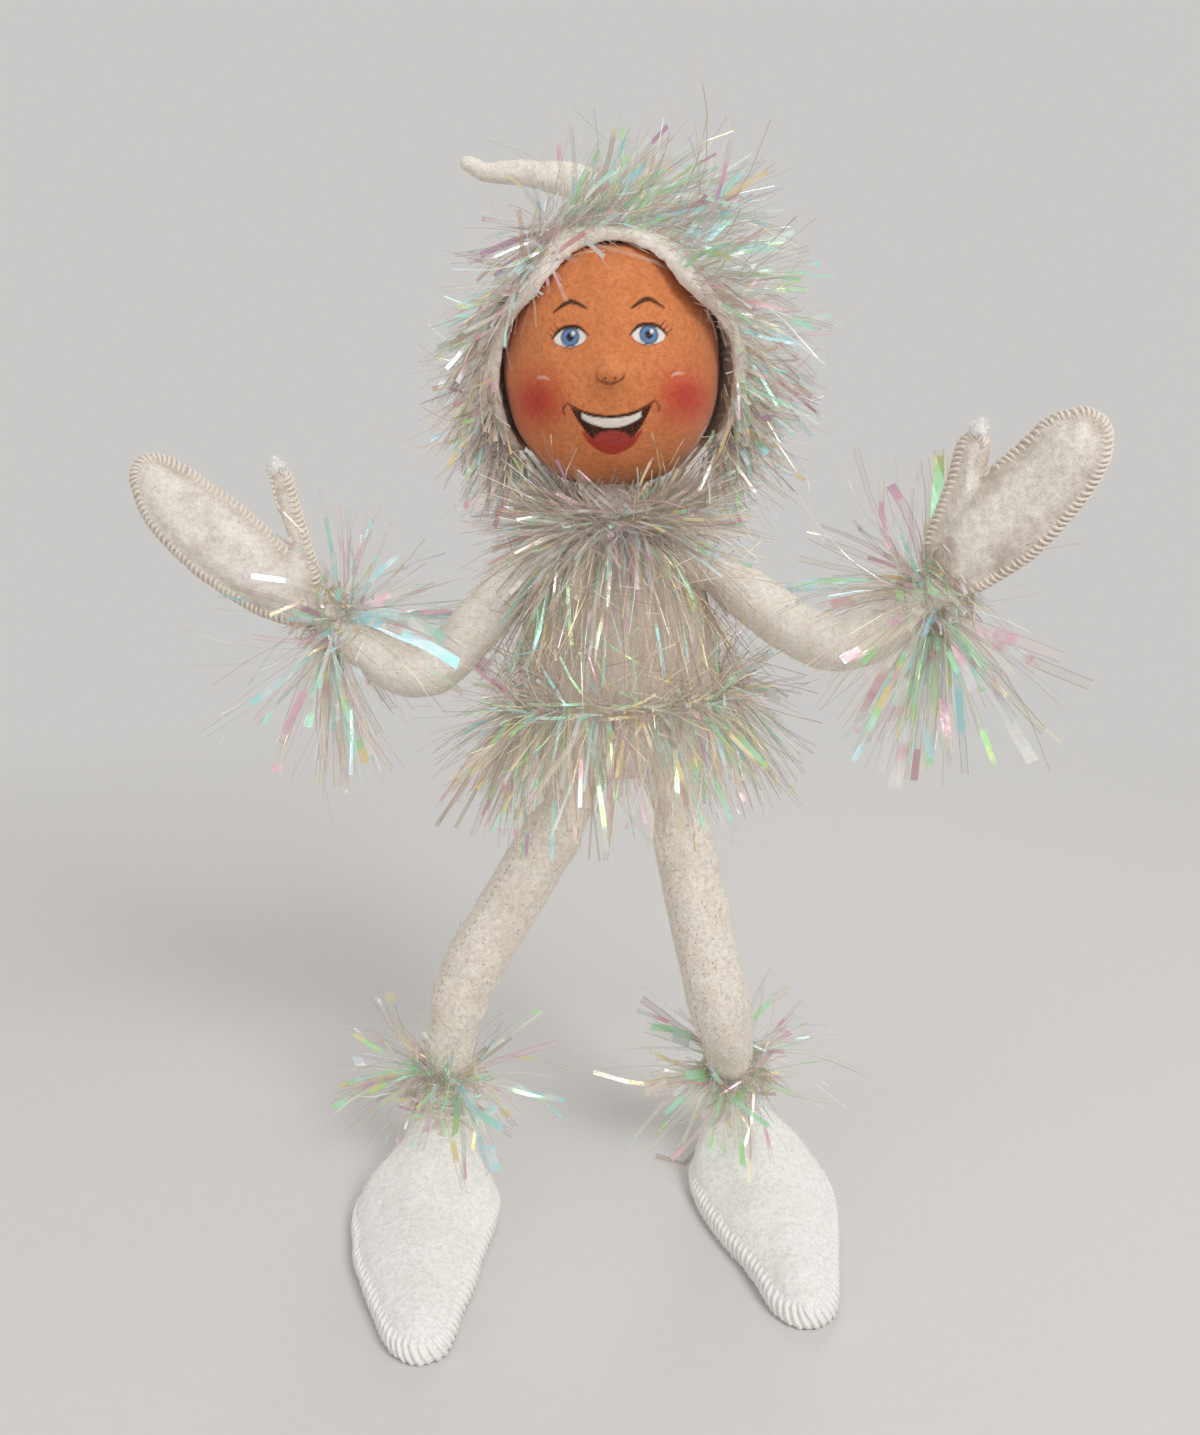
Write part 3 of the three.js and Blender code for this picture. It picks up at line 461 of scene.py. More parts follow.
class Route:
    """A path measured by length, with a frame that turns as little as it can."""

    def __init__(self, points, step=0.6 * MM):
        p = np.array([tuple(q) for q in points])
        s = np.concatenate([[0], np.cumsum(np.linalg.norm(np.diff(p, axis=0), axis=1))])
        self.length = s[-1]
        self.s = np.linspace(0, s[-1], max(3, int(s[-1] / step)))
        self.p = np.column_stack([np.interp(self.s, s, p[:, k]) for k in range(3)])
        t = np.gradient(self.p, axis=0)
        self.t = t / np.linalg.norm(t, axis=1)[:, None]
        side = np.cross(self.t[0], (0, 0, 1) if abs(self.t[0][2]) < 0.9 else (1, 0, 0))
        sides = []
        for tangent in self.t:
            side = side - tangent * side.dot(tangent)
            side = side / np.linalg.norm(side)
            sides.append(side)
        self.u = np.array(sides)
        self.v = np.cross(self.t, self.u)

    def at(self, s):
        inside = min(max(s, 0), self.length)
        k = int(np.searchsorted(self.s, inside).clip(0, len(self.s) - 1))
        p = np.array([np.interp(inside, self.s, self.p[:, c]) for c in range(3)])
        return p + self.t[k] * (s - inside), self.t[k], self.u[k], self.v[k]


def tube(route, stations, sides, wide=1.0):
    """A closed tube of (distance, radius) rings along a route."""
    angles = np.linspace(0, 2 * math.pi, sides, endpoint=False)
    verts = []
    for s, r in stations:
        p, _, u, v = route.at(s)
        verts.extend(p + r * (wide * math.cos(a) * u + math.sin(a) * v) for a in angles)
    return verts, loft(len(stations), sides)


def profile(stops, step, start_round=True):
    """Ring distances and radii through (distance, radius) stops, with round ends."""
    s = np.array([q[0] for q in stops])
    r = np.array([q[1] for q in stops])
    bow = np.linspace(0.12, 1.45, 7)
    out = []
    if start_round:
        out += [(s[0] - r[0] * math.cos(a), r[0] * math.sin(a)) for a in bow]
    steps = np.linspace(s[0], s[-1], int((s[-1] - s[0]) / step))
    k = np.searchsorted(s, steps, side="right").clip(1, len(s) - 1)
    f = (steps - s[k - 1]) / (s[k] - s[k - 1])
    f = f * f * (3 - 2 * f)
    out += list(zip(steps, r[k - 1] * (1 - f) + r[k] * f))
    return out + [(s[-1] + r[-1] * math.sin(a), r[-1] * math.cos(a)) for a in bow]


# Stitches and nap
RUN_STITCH = 0.9 * MM
RUN_GAP = 1.2 * MM
RUN_THREAD = 0.2 * MM
NAP_WIDTH = 0.07 * MM
# Reach, depth and slant of the overcast stitches, radius of their thread and their pitch
MITTEN_STITCH = [size * MM for size in (1.6, 2.3, 0.9, 0.4, 1.25)]
BOOT_STITCH = [size * MM for size in (2.2, 2.7, 1.2, 0.56, 1.9)]
LONGEST_STEP = 2.1 * MM  # a stitch with a wider step has missed the edge


def tree_of(obj):
    faces = [tuple(p.vertices) for p in obj.data.polygons]
    return BVHTree.FromPolygons([v.co for v in obj.data.vertices], faces)


def laid(skin, guesses, sunk, proud):
    """The points of a skin that lie nearest, a little proud of it, with both ends sunk."""
    path = []
    for k, guess in enumerate(guesses):
        spot, facing = skin.find_nearest(guess)[:2]
        path.append(spot + facing * (-sunk if k in (0, len(guesses) - 1) else proud))
    return path


def threads(name, paths, radius, material):
    """Short lengths of thread, each a thin tube with narrow ends."""
    parts = []
    for path in paths:
        route = Route(path, step=(path[1] - path[0]).length)
        last = len(route.s) - 1
        stops = [(s, radius * (0.55 if k in (0, last) else 1)) for k, s in enumerate(route.s)]
        parts.append(tube(route, stops, 6))
    obj = piece(name, *merged(parts), material)
    return obj


def edge_loop(obj, centre, normal):
    """The longest line in which a plane cuts a felt piece."""
    bm = bmesh.new()
    bm.from_mesh(obj.data)
    geom = [*bm.verts, *bm.edges, *bm.faces]
    cut = bmesh.ops.bisect_plane(bm, geom=geom, plane_co=centre, plane_no=normal)["geom_cut"]
    near = {}
    for e in (g for g in cut if isinstance(g, bmesh.types.BMEdge)):
        a, b = e.verts
        near.setdefault(a, []).append(b)
        near.setdefault(b, []).append(a)
    loops, left = [], set(near)
    while left:
        loop = [left.pop()]
        while True:
            ahead = [w for w in near[loop[-1]] if w in left]
            if not ahead:
                break
            left.discard(ahead[0])
            loop.append(ahead[0])
        loops.append([w.co.copy() for w in loop])
    bm.free()
    return max(loops, key=len)


def overcast(name, obj, centre, normal, keep, material, reach, depth, slant, thread, pitch):
    """Whip stitches over the edge that a plane finds on a felt piece."""
    loop = edge_loop(obj, centre, normal)
    route = Route([*loop, loop[0]], step=0.4 * MM)
    middle = Vector(np.mean(route.p, axis=0))
    skin = tree_of(obj)
    paths = []
    for s in np.arange(0, route.length - 0.4 * pitch, pitch):
        p, t = (Vector(x) for x in route.at(float(s))[:2])
        if not keep(p):
            continue
        out = t.cross(normal).normalized()
        if out.dot(p - middle) < 0 and skin.ray_cast(p + out * 0.2 * MM, out)[0]:
            out = -out
        guesses = []
        for turn in np.linspace(-1.75, 1.75, 9):
            guess = p + out * depth * (math.cos(turn) - 0.75) + normal * reach * math.sin(turn)
            guesses.append(guess + t * (slant * math.sin(turn) + 0.12 * MM * math.sin(7 * s / pitch)))
        path = laid(skin, guesses, 0.16 * MM, 0.12 * MM)
        if max((b - a).length for a, b in zip(path, path[1:])) < LONGEST_STEP:
            paths.append(path)
    return threads(name, paths, thread, material)


def seam(name, obj, route, facing, start, end, material):
    """A row of small running stitches along a stuffed limb."""
    skin = tree_of(obj)
    paths = []
    for s in np.arange(start, end, RUN_STITCH + RUN_GAP):
        guesses = []
        for k in range(5):
            p, t = (Vector(x) for x in route.at(float(s + RUN_STITCH * k / 4))[:2])
            guesses.append(p + 9 * MM * (facing - t * facing.dot(t)).normalized())
        paths.append(laid(skin, guesses, 0.1 * MM, 0.04 * MM))
    return threads(name, paths, RUN_THREAD, material)


def pillow(obj, centre, normal, flat, groove):
    """Flattens a stuffed felt towards its sewn edge, draws the stitch line in and paints the felt darker
    towards the edge and in soft patches.
    """
    line = np.array([tuple(p) for p in edge_loop(obj, centre, normal)])
    n, c = np.array(normal), np.array(centre)
    p = points_of(obj)
    h = (p - c) @ n
    level = p - h[:, None] * n
    d = np.concatenate([np.linalg.norm(part[:, None] - line[None], axis=2).min(axis=1)
                        for part in np.array_split(level, 40)]) / MM
    rise = np.clip((d - 0.4) / 6.5, 0, 1)
    full = flat + (1.12 - flat) * rise * rise * (3 - 2 * rise) - groove * np.exp(-(((d - 2.7) / 0.7) ** 2))
    p += ((full - 1) * h)[:, None] * n
    obj.data.vertices.foreach_set("co", p.ravel())
    cloud = [noise.noise(Vector(q) / (7 * MM)) + 0.6 * noise.noise(Vector(q) / (2.5 * MM)) for q in p]
    darker_cover = 0.5 * np.exp(-((d / 3.0) ** 2)) + 0.62 * np.clip(cloud, 0, 1)
    paint(obj, patch_tint((0.46, 0.36, 0.28), np.clip(darker_cover, 0, 0.75)))
    obj.data.update()


def nap(obj, count, long=0.9 * MM):
    """Wool fibres, each a narrow curved strip, that stand off a felt piece and cover it evenly."""
    mesh = obj.data
    mesh.calc_loop_triangles()
    tri = np.array([t.vertices[:] for t in mesh.loop_triangles])
    p = points_of(obj)
    a, b, c = p[tri[:, 0]], p[tri[:, 1]], p[tri[:, 2]]
    cross = np.cross(b - a, c - a)
    area = np.linalg.norm(cross, axis=1)
    pick = rng.choice(len(tri), count, p=area / area.sum())
    u, v = rng.random((2, count, 1))
    flip = u + v > 1
    u, v = np.where(flip, 1 - u, u), np.where(flip, 1 - v, v)
    roots = a[pick] + u * (b - a)[pick] + v * (c - a)[pick]
    facing = cross[pick] / area[pick][:, None]
    ways = facing + rng.normal(0, 0.8, (count, 3))
    ways += facing * np.clip(0.25 - (ways * facing).sum(axis=1), 0, None)[:, None]
    lengths = rng.uniform(0.35, 1, count) * long
    ways = ways / np.linalg.norm(ways, axis=1)[:, None]
    aside = np.cross(ways, rng.normal(size=(count, 3)))
    aside /= np.linalg.norm(aside, axis=1)[:, None]
    t = np.array([0, 0.5, 1])[None, :, None]
    path = roots[:, None] + lengths[:, None, None] * (ways[:, None] * t + 0.45 * aside[:, None] * t**2)
    half = np.cross(ways, aside)[:, None] * (NAP_WIDTH / 2) * np.array([1, 0.9, 0.4])[None, :, None]
    verts = np.stack([path - half, path + half], axis=2).reshape(-1, 3)
    one = np.array([(0, 1, 3, 2), (2, 3, 5, 4)])
    faces = (one[None] + (np.arange(count) * 6)[:, None, None]).reshape(-1, 4)
    wool = piece(f"{obj.name}_nap", verts, faces.tolist(), mesh.materials[0])
    return wool


# Body: one felt bag with short sleeves that reach the shoulders and the hips
BODY_COLUMNS = 64


def torso_radius(height):
    wide, deep, z = egg(TORSO_FORM, TORSO, 90)
    return np.interp(height - TORSO_DROP, z, wide), np.interp(height - TORSO_DROP, z, deep)


def stub(inner, outer, start, end):
    """A short sleeve that narrows to a joint."""
    return tube(Route([inner, outer]), profile([(0, start), ((outer - inner).length, end)], MM), 24)


def body_form():
    angles = np.linspace(0, 2 * math.pi, BODY_COLUMNS, endpoint=False)
    rows = [np.column_stack([a * np.cos(angles), b * np.sin(angles), np.full(BODY_COLUMNS, h + TORSO_DROP)])
            for a, b, h in list(zip(*egg(TORSO_FORM, TORSO, 60)))[1:-1]]
    parts = [(to_world(torso_frame, np.concatenate(rows)), loft(len(rows), BODY_COLUMNS))]
    base = torso_frame.translation
    for s in SIDES:
        shoulder = pivot(f"{s}_shoulder_swing")
        inner = shoulder.lerp(torso_frame @ Vector((0, 0, (shoulder - base).z)), 0.6)
        parts.append(stub(inner, shoulder, 8 * MM, 4.4 * MM))
        hip = pivot(f"{s}_hip_swing")
        inner = hip + (base - hip) * 0.15 + torso_frame.to_3x3() @ Vector((0, 0, 20 * MM))
        parts.append(stub(inner, hip, 9 * MM, 6.2 * MM))
    return parts


torso = fused("torso_bag", body_form(), 1.0 * MM, 14, TORSO_SHADED_FELT)
rough(torso, (0.5, 9), (0.14, 2.2))
in_torso = torso_frame.inverted()
spots = np.array([tuple(in_torso @ v.co) for v in torso.data.vertices]) / MM
# Painted shade: the torso is painted darker above the waist, away from the shoulder stubs, where the collar's
# tinsel shades it
torso_shade = np.clip((spots[:, 2] - 20) / 9, 0, 1) * np.clip((24 - abs(spots[:, 0])) / 4, 0, 1)
paint(torso, patch_tint((0.54, 0.45, 0.38), 0.8 * torso_shade))
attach(torso, "torso")
stuffed(torso, 0.8, "white_felt", "torso_felt", "torso_filling")

neck_low, neck_high = pivot("head_nod"), pivot("head_turn")
neck_way = (neck_high - neck_low).normalized()
neck_route = Route([neck_low + neck_way * MM, neck_high + neck_way * 5 * MM])
neck_sizes = profile([(0, 4.6 * MM), (4 * MM, 5 * MM), (10 * MM, 4.9 * MM)], 0.7 * MM)
neck = piece("neck_roll", *tube(neck_route, neck_sizes, 32), CREAM)
rough(neck, (0.25, 3))
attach(neck, "neck")
stuffed(neck, 0.9, "white_felt", "neck_felt")

# Limbs: joints, bodies, radii, gathered length, felt, thread, side of the seam and depth of the creases
LIMBS = {
    "arm_sleeve": (("shoulder_swing", "elbow", "wrist"), ("upper_arm", "forearm"), (ARM, WRIST), 7 * MM,
                   CREAM, COTTON, (0, 0.5, -0.8), 0.5 * MM),
    "leg_sleeve": (("hip_swing", "knee", "ankle"), ("thigh", "shin"), (LEG, ANKLE), 14 * MM,
                   WORN, TAN_COTTON, (-0.75, -0.65, 0), 0.4 * MM),
}
GATHERED = 3.8 * MM


def limb(s, kind, bends, parts, radii, gather, material, thread, seam_side, creases):
    """A stuffed sleeve over a bent limb, creased in its crook, with a seam and a nap."""
    a, b, c = (pivot(f"{s}_{joint}") for joint in bends)
    route = Route(rounded([a, b, c], 13 * MM))
    total = route.length
    stops = [(0, radii[0] * 0.8), (9 * MM, radii[0]), ((b - a).length - 3 * MM, radii[0] * 1.02),
             (total - gather, radii[1]), (total - 1.5 * MM, GATHERED)]
    obj = piece(f"{s}_{kind}", *tube(route, profile(stops, 0.8 * MM), 40), material)
    inner = ((a - b).normalized() + (c - b).normalized()).normalized()
    for v in obj.data.vertices:
        off = v.co - b
        side = off.dot(inner)
        along = off.dot((c - a).normalized())
        if side > 0 and abs(along) < 14 * MM:
            fold = math.cos(along / (1.5 * MM)) * math.exp(-((along / (7 * MM)) ** 2))
            v.co -= inner * creases * (fold * min(1, side / radii[0]))
    obj.data.update()
    rough(obj, (0.55, 8), (0.16, 2))
    line = seam(f"{s}_{kind}_seam", obj, route, Vector(seam_side), 6 * MM, total - 9 * MM, thread)
    bodies = [f"{s}_{part}" for part in parts]
    for o in (obj, line, nap(obj, 4000)):
        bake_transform(o)
    stuffed(obj, 0.85, "white_felt", *(f"{body}_{w}" for body in bodies for w in ("felt", "filling")))


for s in SIDES:
    for kind, build in LIMBS.items():
        limb(s, kind, *build)

# Mittens and boots: two felts each, sewn over the edge
THUMB = {"right": (35, 8.5, 4.2), "left": (24, 5.5, 5.7)}  # degrees apart, millimetres along and aside
BOOT_FORM = [[0, 0.2, 0.3], [0.05, 0.42, 0.74], [0.15, 0.55, 1], [0.24, 0.82, 0.8], [0.35, 1, 0.5],
             [0.51, 0.93, 0.28], [0.69, 0.73, 0.16], [0.84, 0.52, 0.09], [0.93, 0.39, 0.02],
             [0.98, 0.24, -0.1], [1, 0.04, -0.28]]  # shares along, wide and high
BOOT_BOW = {"right": -3 * MM, "left": 2.5 * MM}
BOOT_TURN = {"right": math.radians(-4), "left": 0.0}
BOOT_SPREAD = 0.48  # half width of the felt against the boot's width
BOOT_WALL = 1.6 * MM
BOOT_EDGE = 1.9 * MM
ABOVE_FLOOR = 0.05 * MM
ARC_POINTS = 41


def hand_frame(s):
    wrist = pivot(f"{s}_wrist")
    corners = [v.co for v in frame["nodes"][f"{s}_hand_wire"].data.vertices]
    way = (max(corners, key=lambda p: (p - wrist).length) - wrist).normalized()
    return wrist, way, axis(f"{s}_wrist").cross(way).normalized()


def tuft(s, mitten, wrist, way, palm):
    """The wisp of wool left at the tip of the thumb."""
    across = palm.cross(way).normalized()
    across *= math.copysign(1, across.z)
    apart, along, aside = THUMB[s]
    root = wrist + way * along * MM + across * aside * MM
    line = way * math.cos(math.radians(apart)) + across * math.sin(math.radians(apart))

    def reach(p):
        return (p - root).dot(line)

    near = [v.co for v in mitten.data.vertices if (v.co - root - line * reach(v.co)).length < 3.4 * MM]
    tip = max(near, key=reach)
    core = Route([tip - 1.4 * line * MM, tip + 2 * line * MM])
    sizes = [(0, 1.3 * MM), (1.2 * MM, 2 * MM), (2.6 * MM, 2.1 * MM), (3.4 * MM, MM)]
    obj = piece(f"{s}_thumb_tuft", *tube(core, profile(sizes, 0.3 * MM), 28), BRIGHT)
    rough(obj, (0.7, 2.4), (0.3, 0.9))
    return obj


def boot_form(s):
    """A stuffed leaf on a flat sole, with a soft crest from the ankle to the toe."""
    ankle = pivot(f"{s}_ankle")
    sole = [v.co for v in frame["nodes"][f"{s}_boot_sole"].data.vertices]
    toe = max(sole, key=lambda p: (p - ankle).xy.length)
    turn = math.atan2(toe.x - ankle.x, ankle.y - toe.y) + BOOT_TURN[s]
    m = Matrix.Translation((ankle.x, ankle.y, 0)) @ Matrix.Rotation(turn, 4, "Z")
    arc = np.linspace(0, math.pi, ARC_POINTS)
    crest = np.sin(arc) ** 0.8 * (0.86 + 0.14 * np.sin(arc) ** 6)
    rows = []
    for along, wide, rise in outline(BOOT_FORM, 100):
        x = BOOT_BOW[s] * math.sin(math.pi * along) + max(wide, 0.02) * BOOT[0] * BOOT_SPREAD * np.cos(arc)
        y = np.full(ARC_POINTS, BOOT_HEEL - along * BOOT[1])
        high = BOOT_TOE + rise * (BOOT[2] - BOOT_TOE)
        top = np.column_stack([x, y, BOOT_WALL + (high - BOOT_WALL) * crest])
        rows.append(np.concatenate([top, np.column_stack([x[::-1], y, np.zeros(ARC_POINTS)])]))
    leaf_form = to_world(m, np.concatenate(rows)), loft(len(rows), 2 * ARC_POINTS)
    neck_line = Route([ankle - Vector((0, 0, 9 * MM)), ankle])
    return [leaf_form, tube(neck_line, profile([(0, 8 * MM), (9 * MM, 4.2 * MM)], MM), 24)]


for s in SIDES:
    wrist, way, palm = hand_frame(s)
    core = Route([wrist - way * MM, wrist + way * 30 * MM])
    sizes = profile([(0, 3.4 * MM), (9 * MM, 3.8 * MM), (30 * MM, 2 * MM)], 2 * MM)
    halves = [f"{s}_mitten_{half}" for half in ("palm", "back")]
    mitten = fused(f"{s}_mitten", [*map(node_mesh, halves), tube(core, sizes, 16)], 0.55 * MM, 7, STAINED)
    pillow(mitten, wrist, palm, 0.55, 0.08)
    rough(mitten, (0.6, 9), (0.2, 2))
    stitch = overcast(f"{s}_mitten_stitches", mitten, wrist, palm, lambda p: (p - wrist).dot(way) > 5 * MM,
                      COTTON, *MITTEN_STITCH)
    wool = tuft(s, mitten, wrist, way, palm)
    for o in (mitten, stitch, nap(mitten, 2200), wool, nap(wool, 700, 1.2 * MM)):
        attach(o, f"{s}_hand")
    stuffed(mitten, 0.5, "white_felt", *halves)

    boot = fused(f"{s}_boot", boot_form(s), 0.75 * MM, 6, BRIGHT)
    rough(boot, (0.8, 11), (0.18, 2.2))
    stitch = overcast(f"{s}_boot_stitches", boot, Vector((0, 0, BOOT_EDGE)), Vector((0, 0, 1)),
                      lambda p: True, WHITE_COTTON, *BOOT_STITCH)
    for o in (boot, stitch, nap(boot, 4200, 1.1 * MM)):
        for v in o.data.vertices:
            v.co.z = max(v.co.z, ABOVE_FLOOR)
        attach(o, f"{s}_foot")
    stuffed(boot, 0.7, "white_felt", *(f"{s}_boot_{part}" for part in ("upper", "sole", "filling")))


# Head with a plain painted face, in millimetres across and up from the chin
def painted(x, z):
    """Colours and cover of the face."""
    rgb, alpha = np.zeros((len(x), 3)), np.zeros(len(x))

    def over(cover, colour):
        nonlocal rgb, alpha
        total = cover + alpha * (1 - cover)
        mixed = np.array(colour) * cover[:, None] + rgb * (alpha * (1 - cover))[:, None]
        rgb = np.where(total[:, None] > 1e-6, mixed / np.maximum(total, 1e-6)[:, None], rgb)
        alpha = total

    def stroke(points, widths):
        """Cover of a brush stroke through points, with its width along it."""
        p = outline(points, 60)
        w = np.interp(np.linspace(0, 1, 60), np.linspace(0, 1, len(widths)), widths)
        d = np.hypot(x[:, None] - p[None, :, 0], z[:, None] - p[None, :, 1]) - w / 2
        return np.clip(0.5 - d.min(axis=1) / 0.22, 0, 1)

    def oval(cx, cz, rx, rz, soft=0.22):
        d = (np.hypot((x - cx) / rx, (z - cz) / rz) - 1) * min(rx, rz)
        return np.clip(0.5 - d / soft, 0, 1)

    def above(height):
        return np.clip(height / 0.25 + 0.5, 0, 1)

    ink, umber = (0.025, 0.012, 0.01), (0.12, 0.03, 0.02)
    iris = ((2.05, (0.02, 0.05, 0.12)), (1.75, (0.09, 0.24, 0.44)), (0.85, (0.01, 0.01, 0.02)))
    for m in (-1, 1):
        d = np.hypot((x - m * 16.5) / 8.2, (z - 18.5) / 7.4)
        over(0.92 * np.exp(-(d**2) * 1.7), (0.5, 0.03, 0.03))
        glint = [[m * 13.2, 22.6], [m * 14.6, 23.3], [m * 16.2, 23.2]]
        over(0.7 * stroke(glint, [0.2, 0.7, 0.2]), (0.85, 0.6, 0.5))
        e = m * 8.4
        over(oval(e, 31, 3.5, 2.1), (0.8, 0.78, 0.74))
        for radius, colour in iris:
            over(oval(e, 31.1, radius, radius), colour)
        over(oval(e + 0.65, 31.8, 0.42, 0.42), (0.92, 0.92, 0.92))
        lid = [[e - 4, 31], [e - 2.2, 32.8], [e, 33.3], [e + 2.2, 32.8], [e + 4, 31]]
        over(stroke(lid, [0.3, 0.8, 0.9, 0.8, 0.3]), ink)
        over(0.8 * stroke([[e - 3, 29.7], [e, 28.8], [e + 3, 29.7]], [0.15, 0.35, 0.15]), ink)
        for k in (0, 1, 2):
            lash = [[e + m * (2.4 + 0.7 * k), 32.6 - 0.6 * k], [e + m * (3.6 + 0.8 * k), 34.2 - 0.8 * k]]
            over(stroke(lash, [0.4, 0.1]), ink)
        brow = [[e - 3.6, 36.6], [e, 38.6], [e + 3.6, 36.9]][::m]
        over(stroke(brow, [0.5, 1.2, 0.3]), (0.06, 0.025, 0.015))
        dimple = [[m * 9.4, 17.6], [m * 10.4, 16.4], [m * 10.2, 15.2]]
        over(0.8 * stroke(dimple, [0.2, 0.55, 0.2]), ink)
        over(oval(m * 1.1, 21.9, 0.42, 0.3), umber)
    nose = [[-3, 23.4], [-2.6, 21.8], [0, 20.9], [2.6, 21.8], [3, 23.4]]
    over(0.85 * stroke(nose, [0.2, 0.5, 0.55, 0.5, 0.2]), umber)
    top = 14.4 + 2.4 * (x / 9) ** 2
    bottom = 8.2 + 8.6 * np.abs(x / 9) ** 2.2
    mouth = above(top - z) * above(z - bottom) * (np.abs(x) < 9)
    over(mouth, (0.03, 0.008, 0.008))
    over(0.9 * mouth * oval(0, 9.2, 4.4, 2.3, 0.4), (0.42, 0.05, 0.05))
    teeth = mouth * above(z - top + 2.3 - 0.02 * x**2) * np.clip((6.6 - np.abs(x)) / 0.3, 0, 1)
    over(teeth, (0.82, 0.78, 0.7))
    lip = [[-6.6, 11.6], [-4, 9], [0, 7.6], [4, 9], [6.6, 11.6]]
    over(0.95 * stroke(lip, [0.3, 1.5, 2.0, 1.5, 0.3]), (0.4, 0.03, 0.025))
    rim = [[-9.2, 17.3], [-5, 15.1], [0, 14.4], [5, 15.1], [9.2, 17.3]]
    over(stroke(rim, [0.3, 0.8, 0.7, 0.8, 0.3]), ink)
    return np.column_stack([rgb, alpha])


HEAD_ROWS = 230
FACE_TURN = 1.65  # half the angle that the finely meshed face takes up
SWELLS = ((0, 23.2, 2.6, 3.6), (-13, 19.5, 0.9, 7), (13, 19.5, 0.9, 7), (-8.4, 31, -0.5, 4.5),
          (8.4, 31, -0.5, 4.5))  # nose, cheeks and eye hollows: place, height and reach


def make_head():
    wide, deep, z = (part[1:-1, None] for part in egg(HEAD_FORM, HEAD, HEAD_ROWS))
    back = np.linspace(FACE_TURN, 2 * math.pi - FACE_TURN, 72)[1:-1]
    angle = np.concatenate([np.linspace(-FACE_TURN, FACE_TURN, 250), back])
    columns = len(angle)
    x, y = wide * np.sin(angle), -deep * np.cos(angle)
    h = np.repeat(z, columns, axis=1)
    swell = np.zeros_like(x)
    for cx, cz, size, reach in SWELLS:
        swell += size * MM * np.exp(-(((x / MM - cx) ** 2 + (h / MM - cz) ** 2) / reach**2))
    y -= np.where(y < 0, swell, 0)
    local = np.column_stack([x.ravel(), y.ravel(), h.ravel()])
    obj = piece("head_form", to_world(head_frame, local), loft(HEAD_ROWS - 2, columns), SKIN, CREAM)
    cover = np.zeros((len(local), 4))
    ahead = local[:, 1] < -2 * MM
    cover[ahead] = painted(local[ahead, 0] / MM, local[ahead, 2] / MM)
    paint(obj, cover)
    for p in obj.data.polygons:
        p.material_index = int(local[list(p.vertices), 1].min() > 4 * MM)
    rough(obj, (0.3, 9), (0.1, 1.6))
    return obj


head = make_head()
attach(head, "head")
stuffed(head, 0.95, "face_felt", "face_felt", "head_back_felt", "head_filling")

# Hood and its tail
HOOD_ROWS = 80
HOOD_COLUMNS = 110
FLARE_DROP = 8 * MM  # the edge's flare dies out this far below the hem
FLARE_REACH = 9 * MM
TAIL_PATH = [(0, 1, -15), (1.5, 1, -3), (-2, 2, 5), (-10, 3.5, 9.3), (-20, 4.5, 10.6), (-30, 5, 10.8),
             (-34, 5, 13)]
TAIL_RADII = [(0, 11.5), (0.14, 8.4), (0.3, 5.8), (0.5, 4.1), (0.75, 3), (0.95, 2.1), (1, 1.7)]


def opening(deep, height, setback=0.0):
    """Angle from the front at which the hood's edge lies: a pointed arch over the face."""
    level = height - HEAD[2] / 2
    cut = (setback - HOOD_FRONT - level * math.sin(HOOD_TILT)) / math.cos(HOOD_TILT)
    round_edge = np.arccos(np.clip(-cut / np.maximum(deep, 1e-6), -1, 1))
    return round_edge * (1 - 0.34 * np.exp(-(((level - 17 * MM) / (9 * MM)) ** 2)))


def hood_shell():
    columns, rows, sheets = HOOD_COLUMNS, HOOD_ROWS, []
    for proud in (HOOD_GAP + HOOD_WALL, HOOD_GAP):
        wide, deep, z = egg(HEAD_FORM, HEAD, 400, proud)
        for k in np.linspace(np.searchsorted(z, HOOD_HEM), 398, rows).astype(int):
            first = opening(deep[k], z[k])
            a = first + (2 * math.pi - 2 * first) * np.linspace(0, 1, columns)
            up = (z[k] - HOOD_HEM + FLARE_DROP) / (HEAD[2] - HOOD_HEM + FLARE_DROP)
            tall = math.sin(math.pi * min(1, max(0, up))) ** 0.6
            near = np.exp(-(((a - first) * wide[k] / FLARE_REACH) ** 2))
            far = np.exp(-(((2 * math.pi - first - a) * wide[k] / FLARE_REACH) ** 2))
            flare = tall * MM * (3.8 * near + 1.4 * far)
            x, y = (wide[k] + flare) * np.sin(a), -(deep[k] + 0.4 * flare) * np.cos(a)
            sheets.append(np.column_stack([x, y, np.full(columns, z[k])]))
    verts = np.concatenate(sheets)
    count = rows * columns
    faces = grid(rows, columns, closed=False)
    faces += [tuple(count + k for k in reversed(f)) for f in faces]
    edge = [r * columns for r in range(rows)]
    edge_far = [k + columns - 1 for k in edge]
    gap = np.linalg.norm(verts[edge] - verts[edge_far], axis=1)
    hem = list(range(columns))
    for line, flip in ((edge, False), (edge_far, True), (hem, True)):
        for k, (a, b) in enumerate(zip(line, line[1:])):
            if line is hem or gap[min(k + 1, rows - 1)] > 1e-5:
                faces.append((a, a + count, b + count, b) if flip else (a, b, b + count, a + count))
    return to_world(head_frame, verts), faces


bend = pivot("cap_tail_bend")
tail = Route([bend + Vector(q) * MM for q in TAIL_PATH])
tail_sizes = profile([(share * tail.length, radius * MM) for share, radius in TAIL_RADII], 0.8 * MM, False)
hood = fused("hood_and_tail", [hood_shell(), tube(tail, tail_sizes, 32, 0.8)], 0.8 * MM, 12, CREAM)
rough(hood, (0.8, 12), (0.3, 5), (0.16, 2))


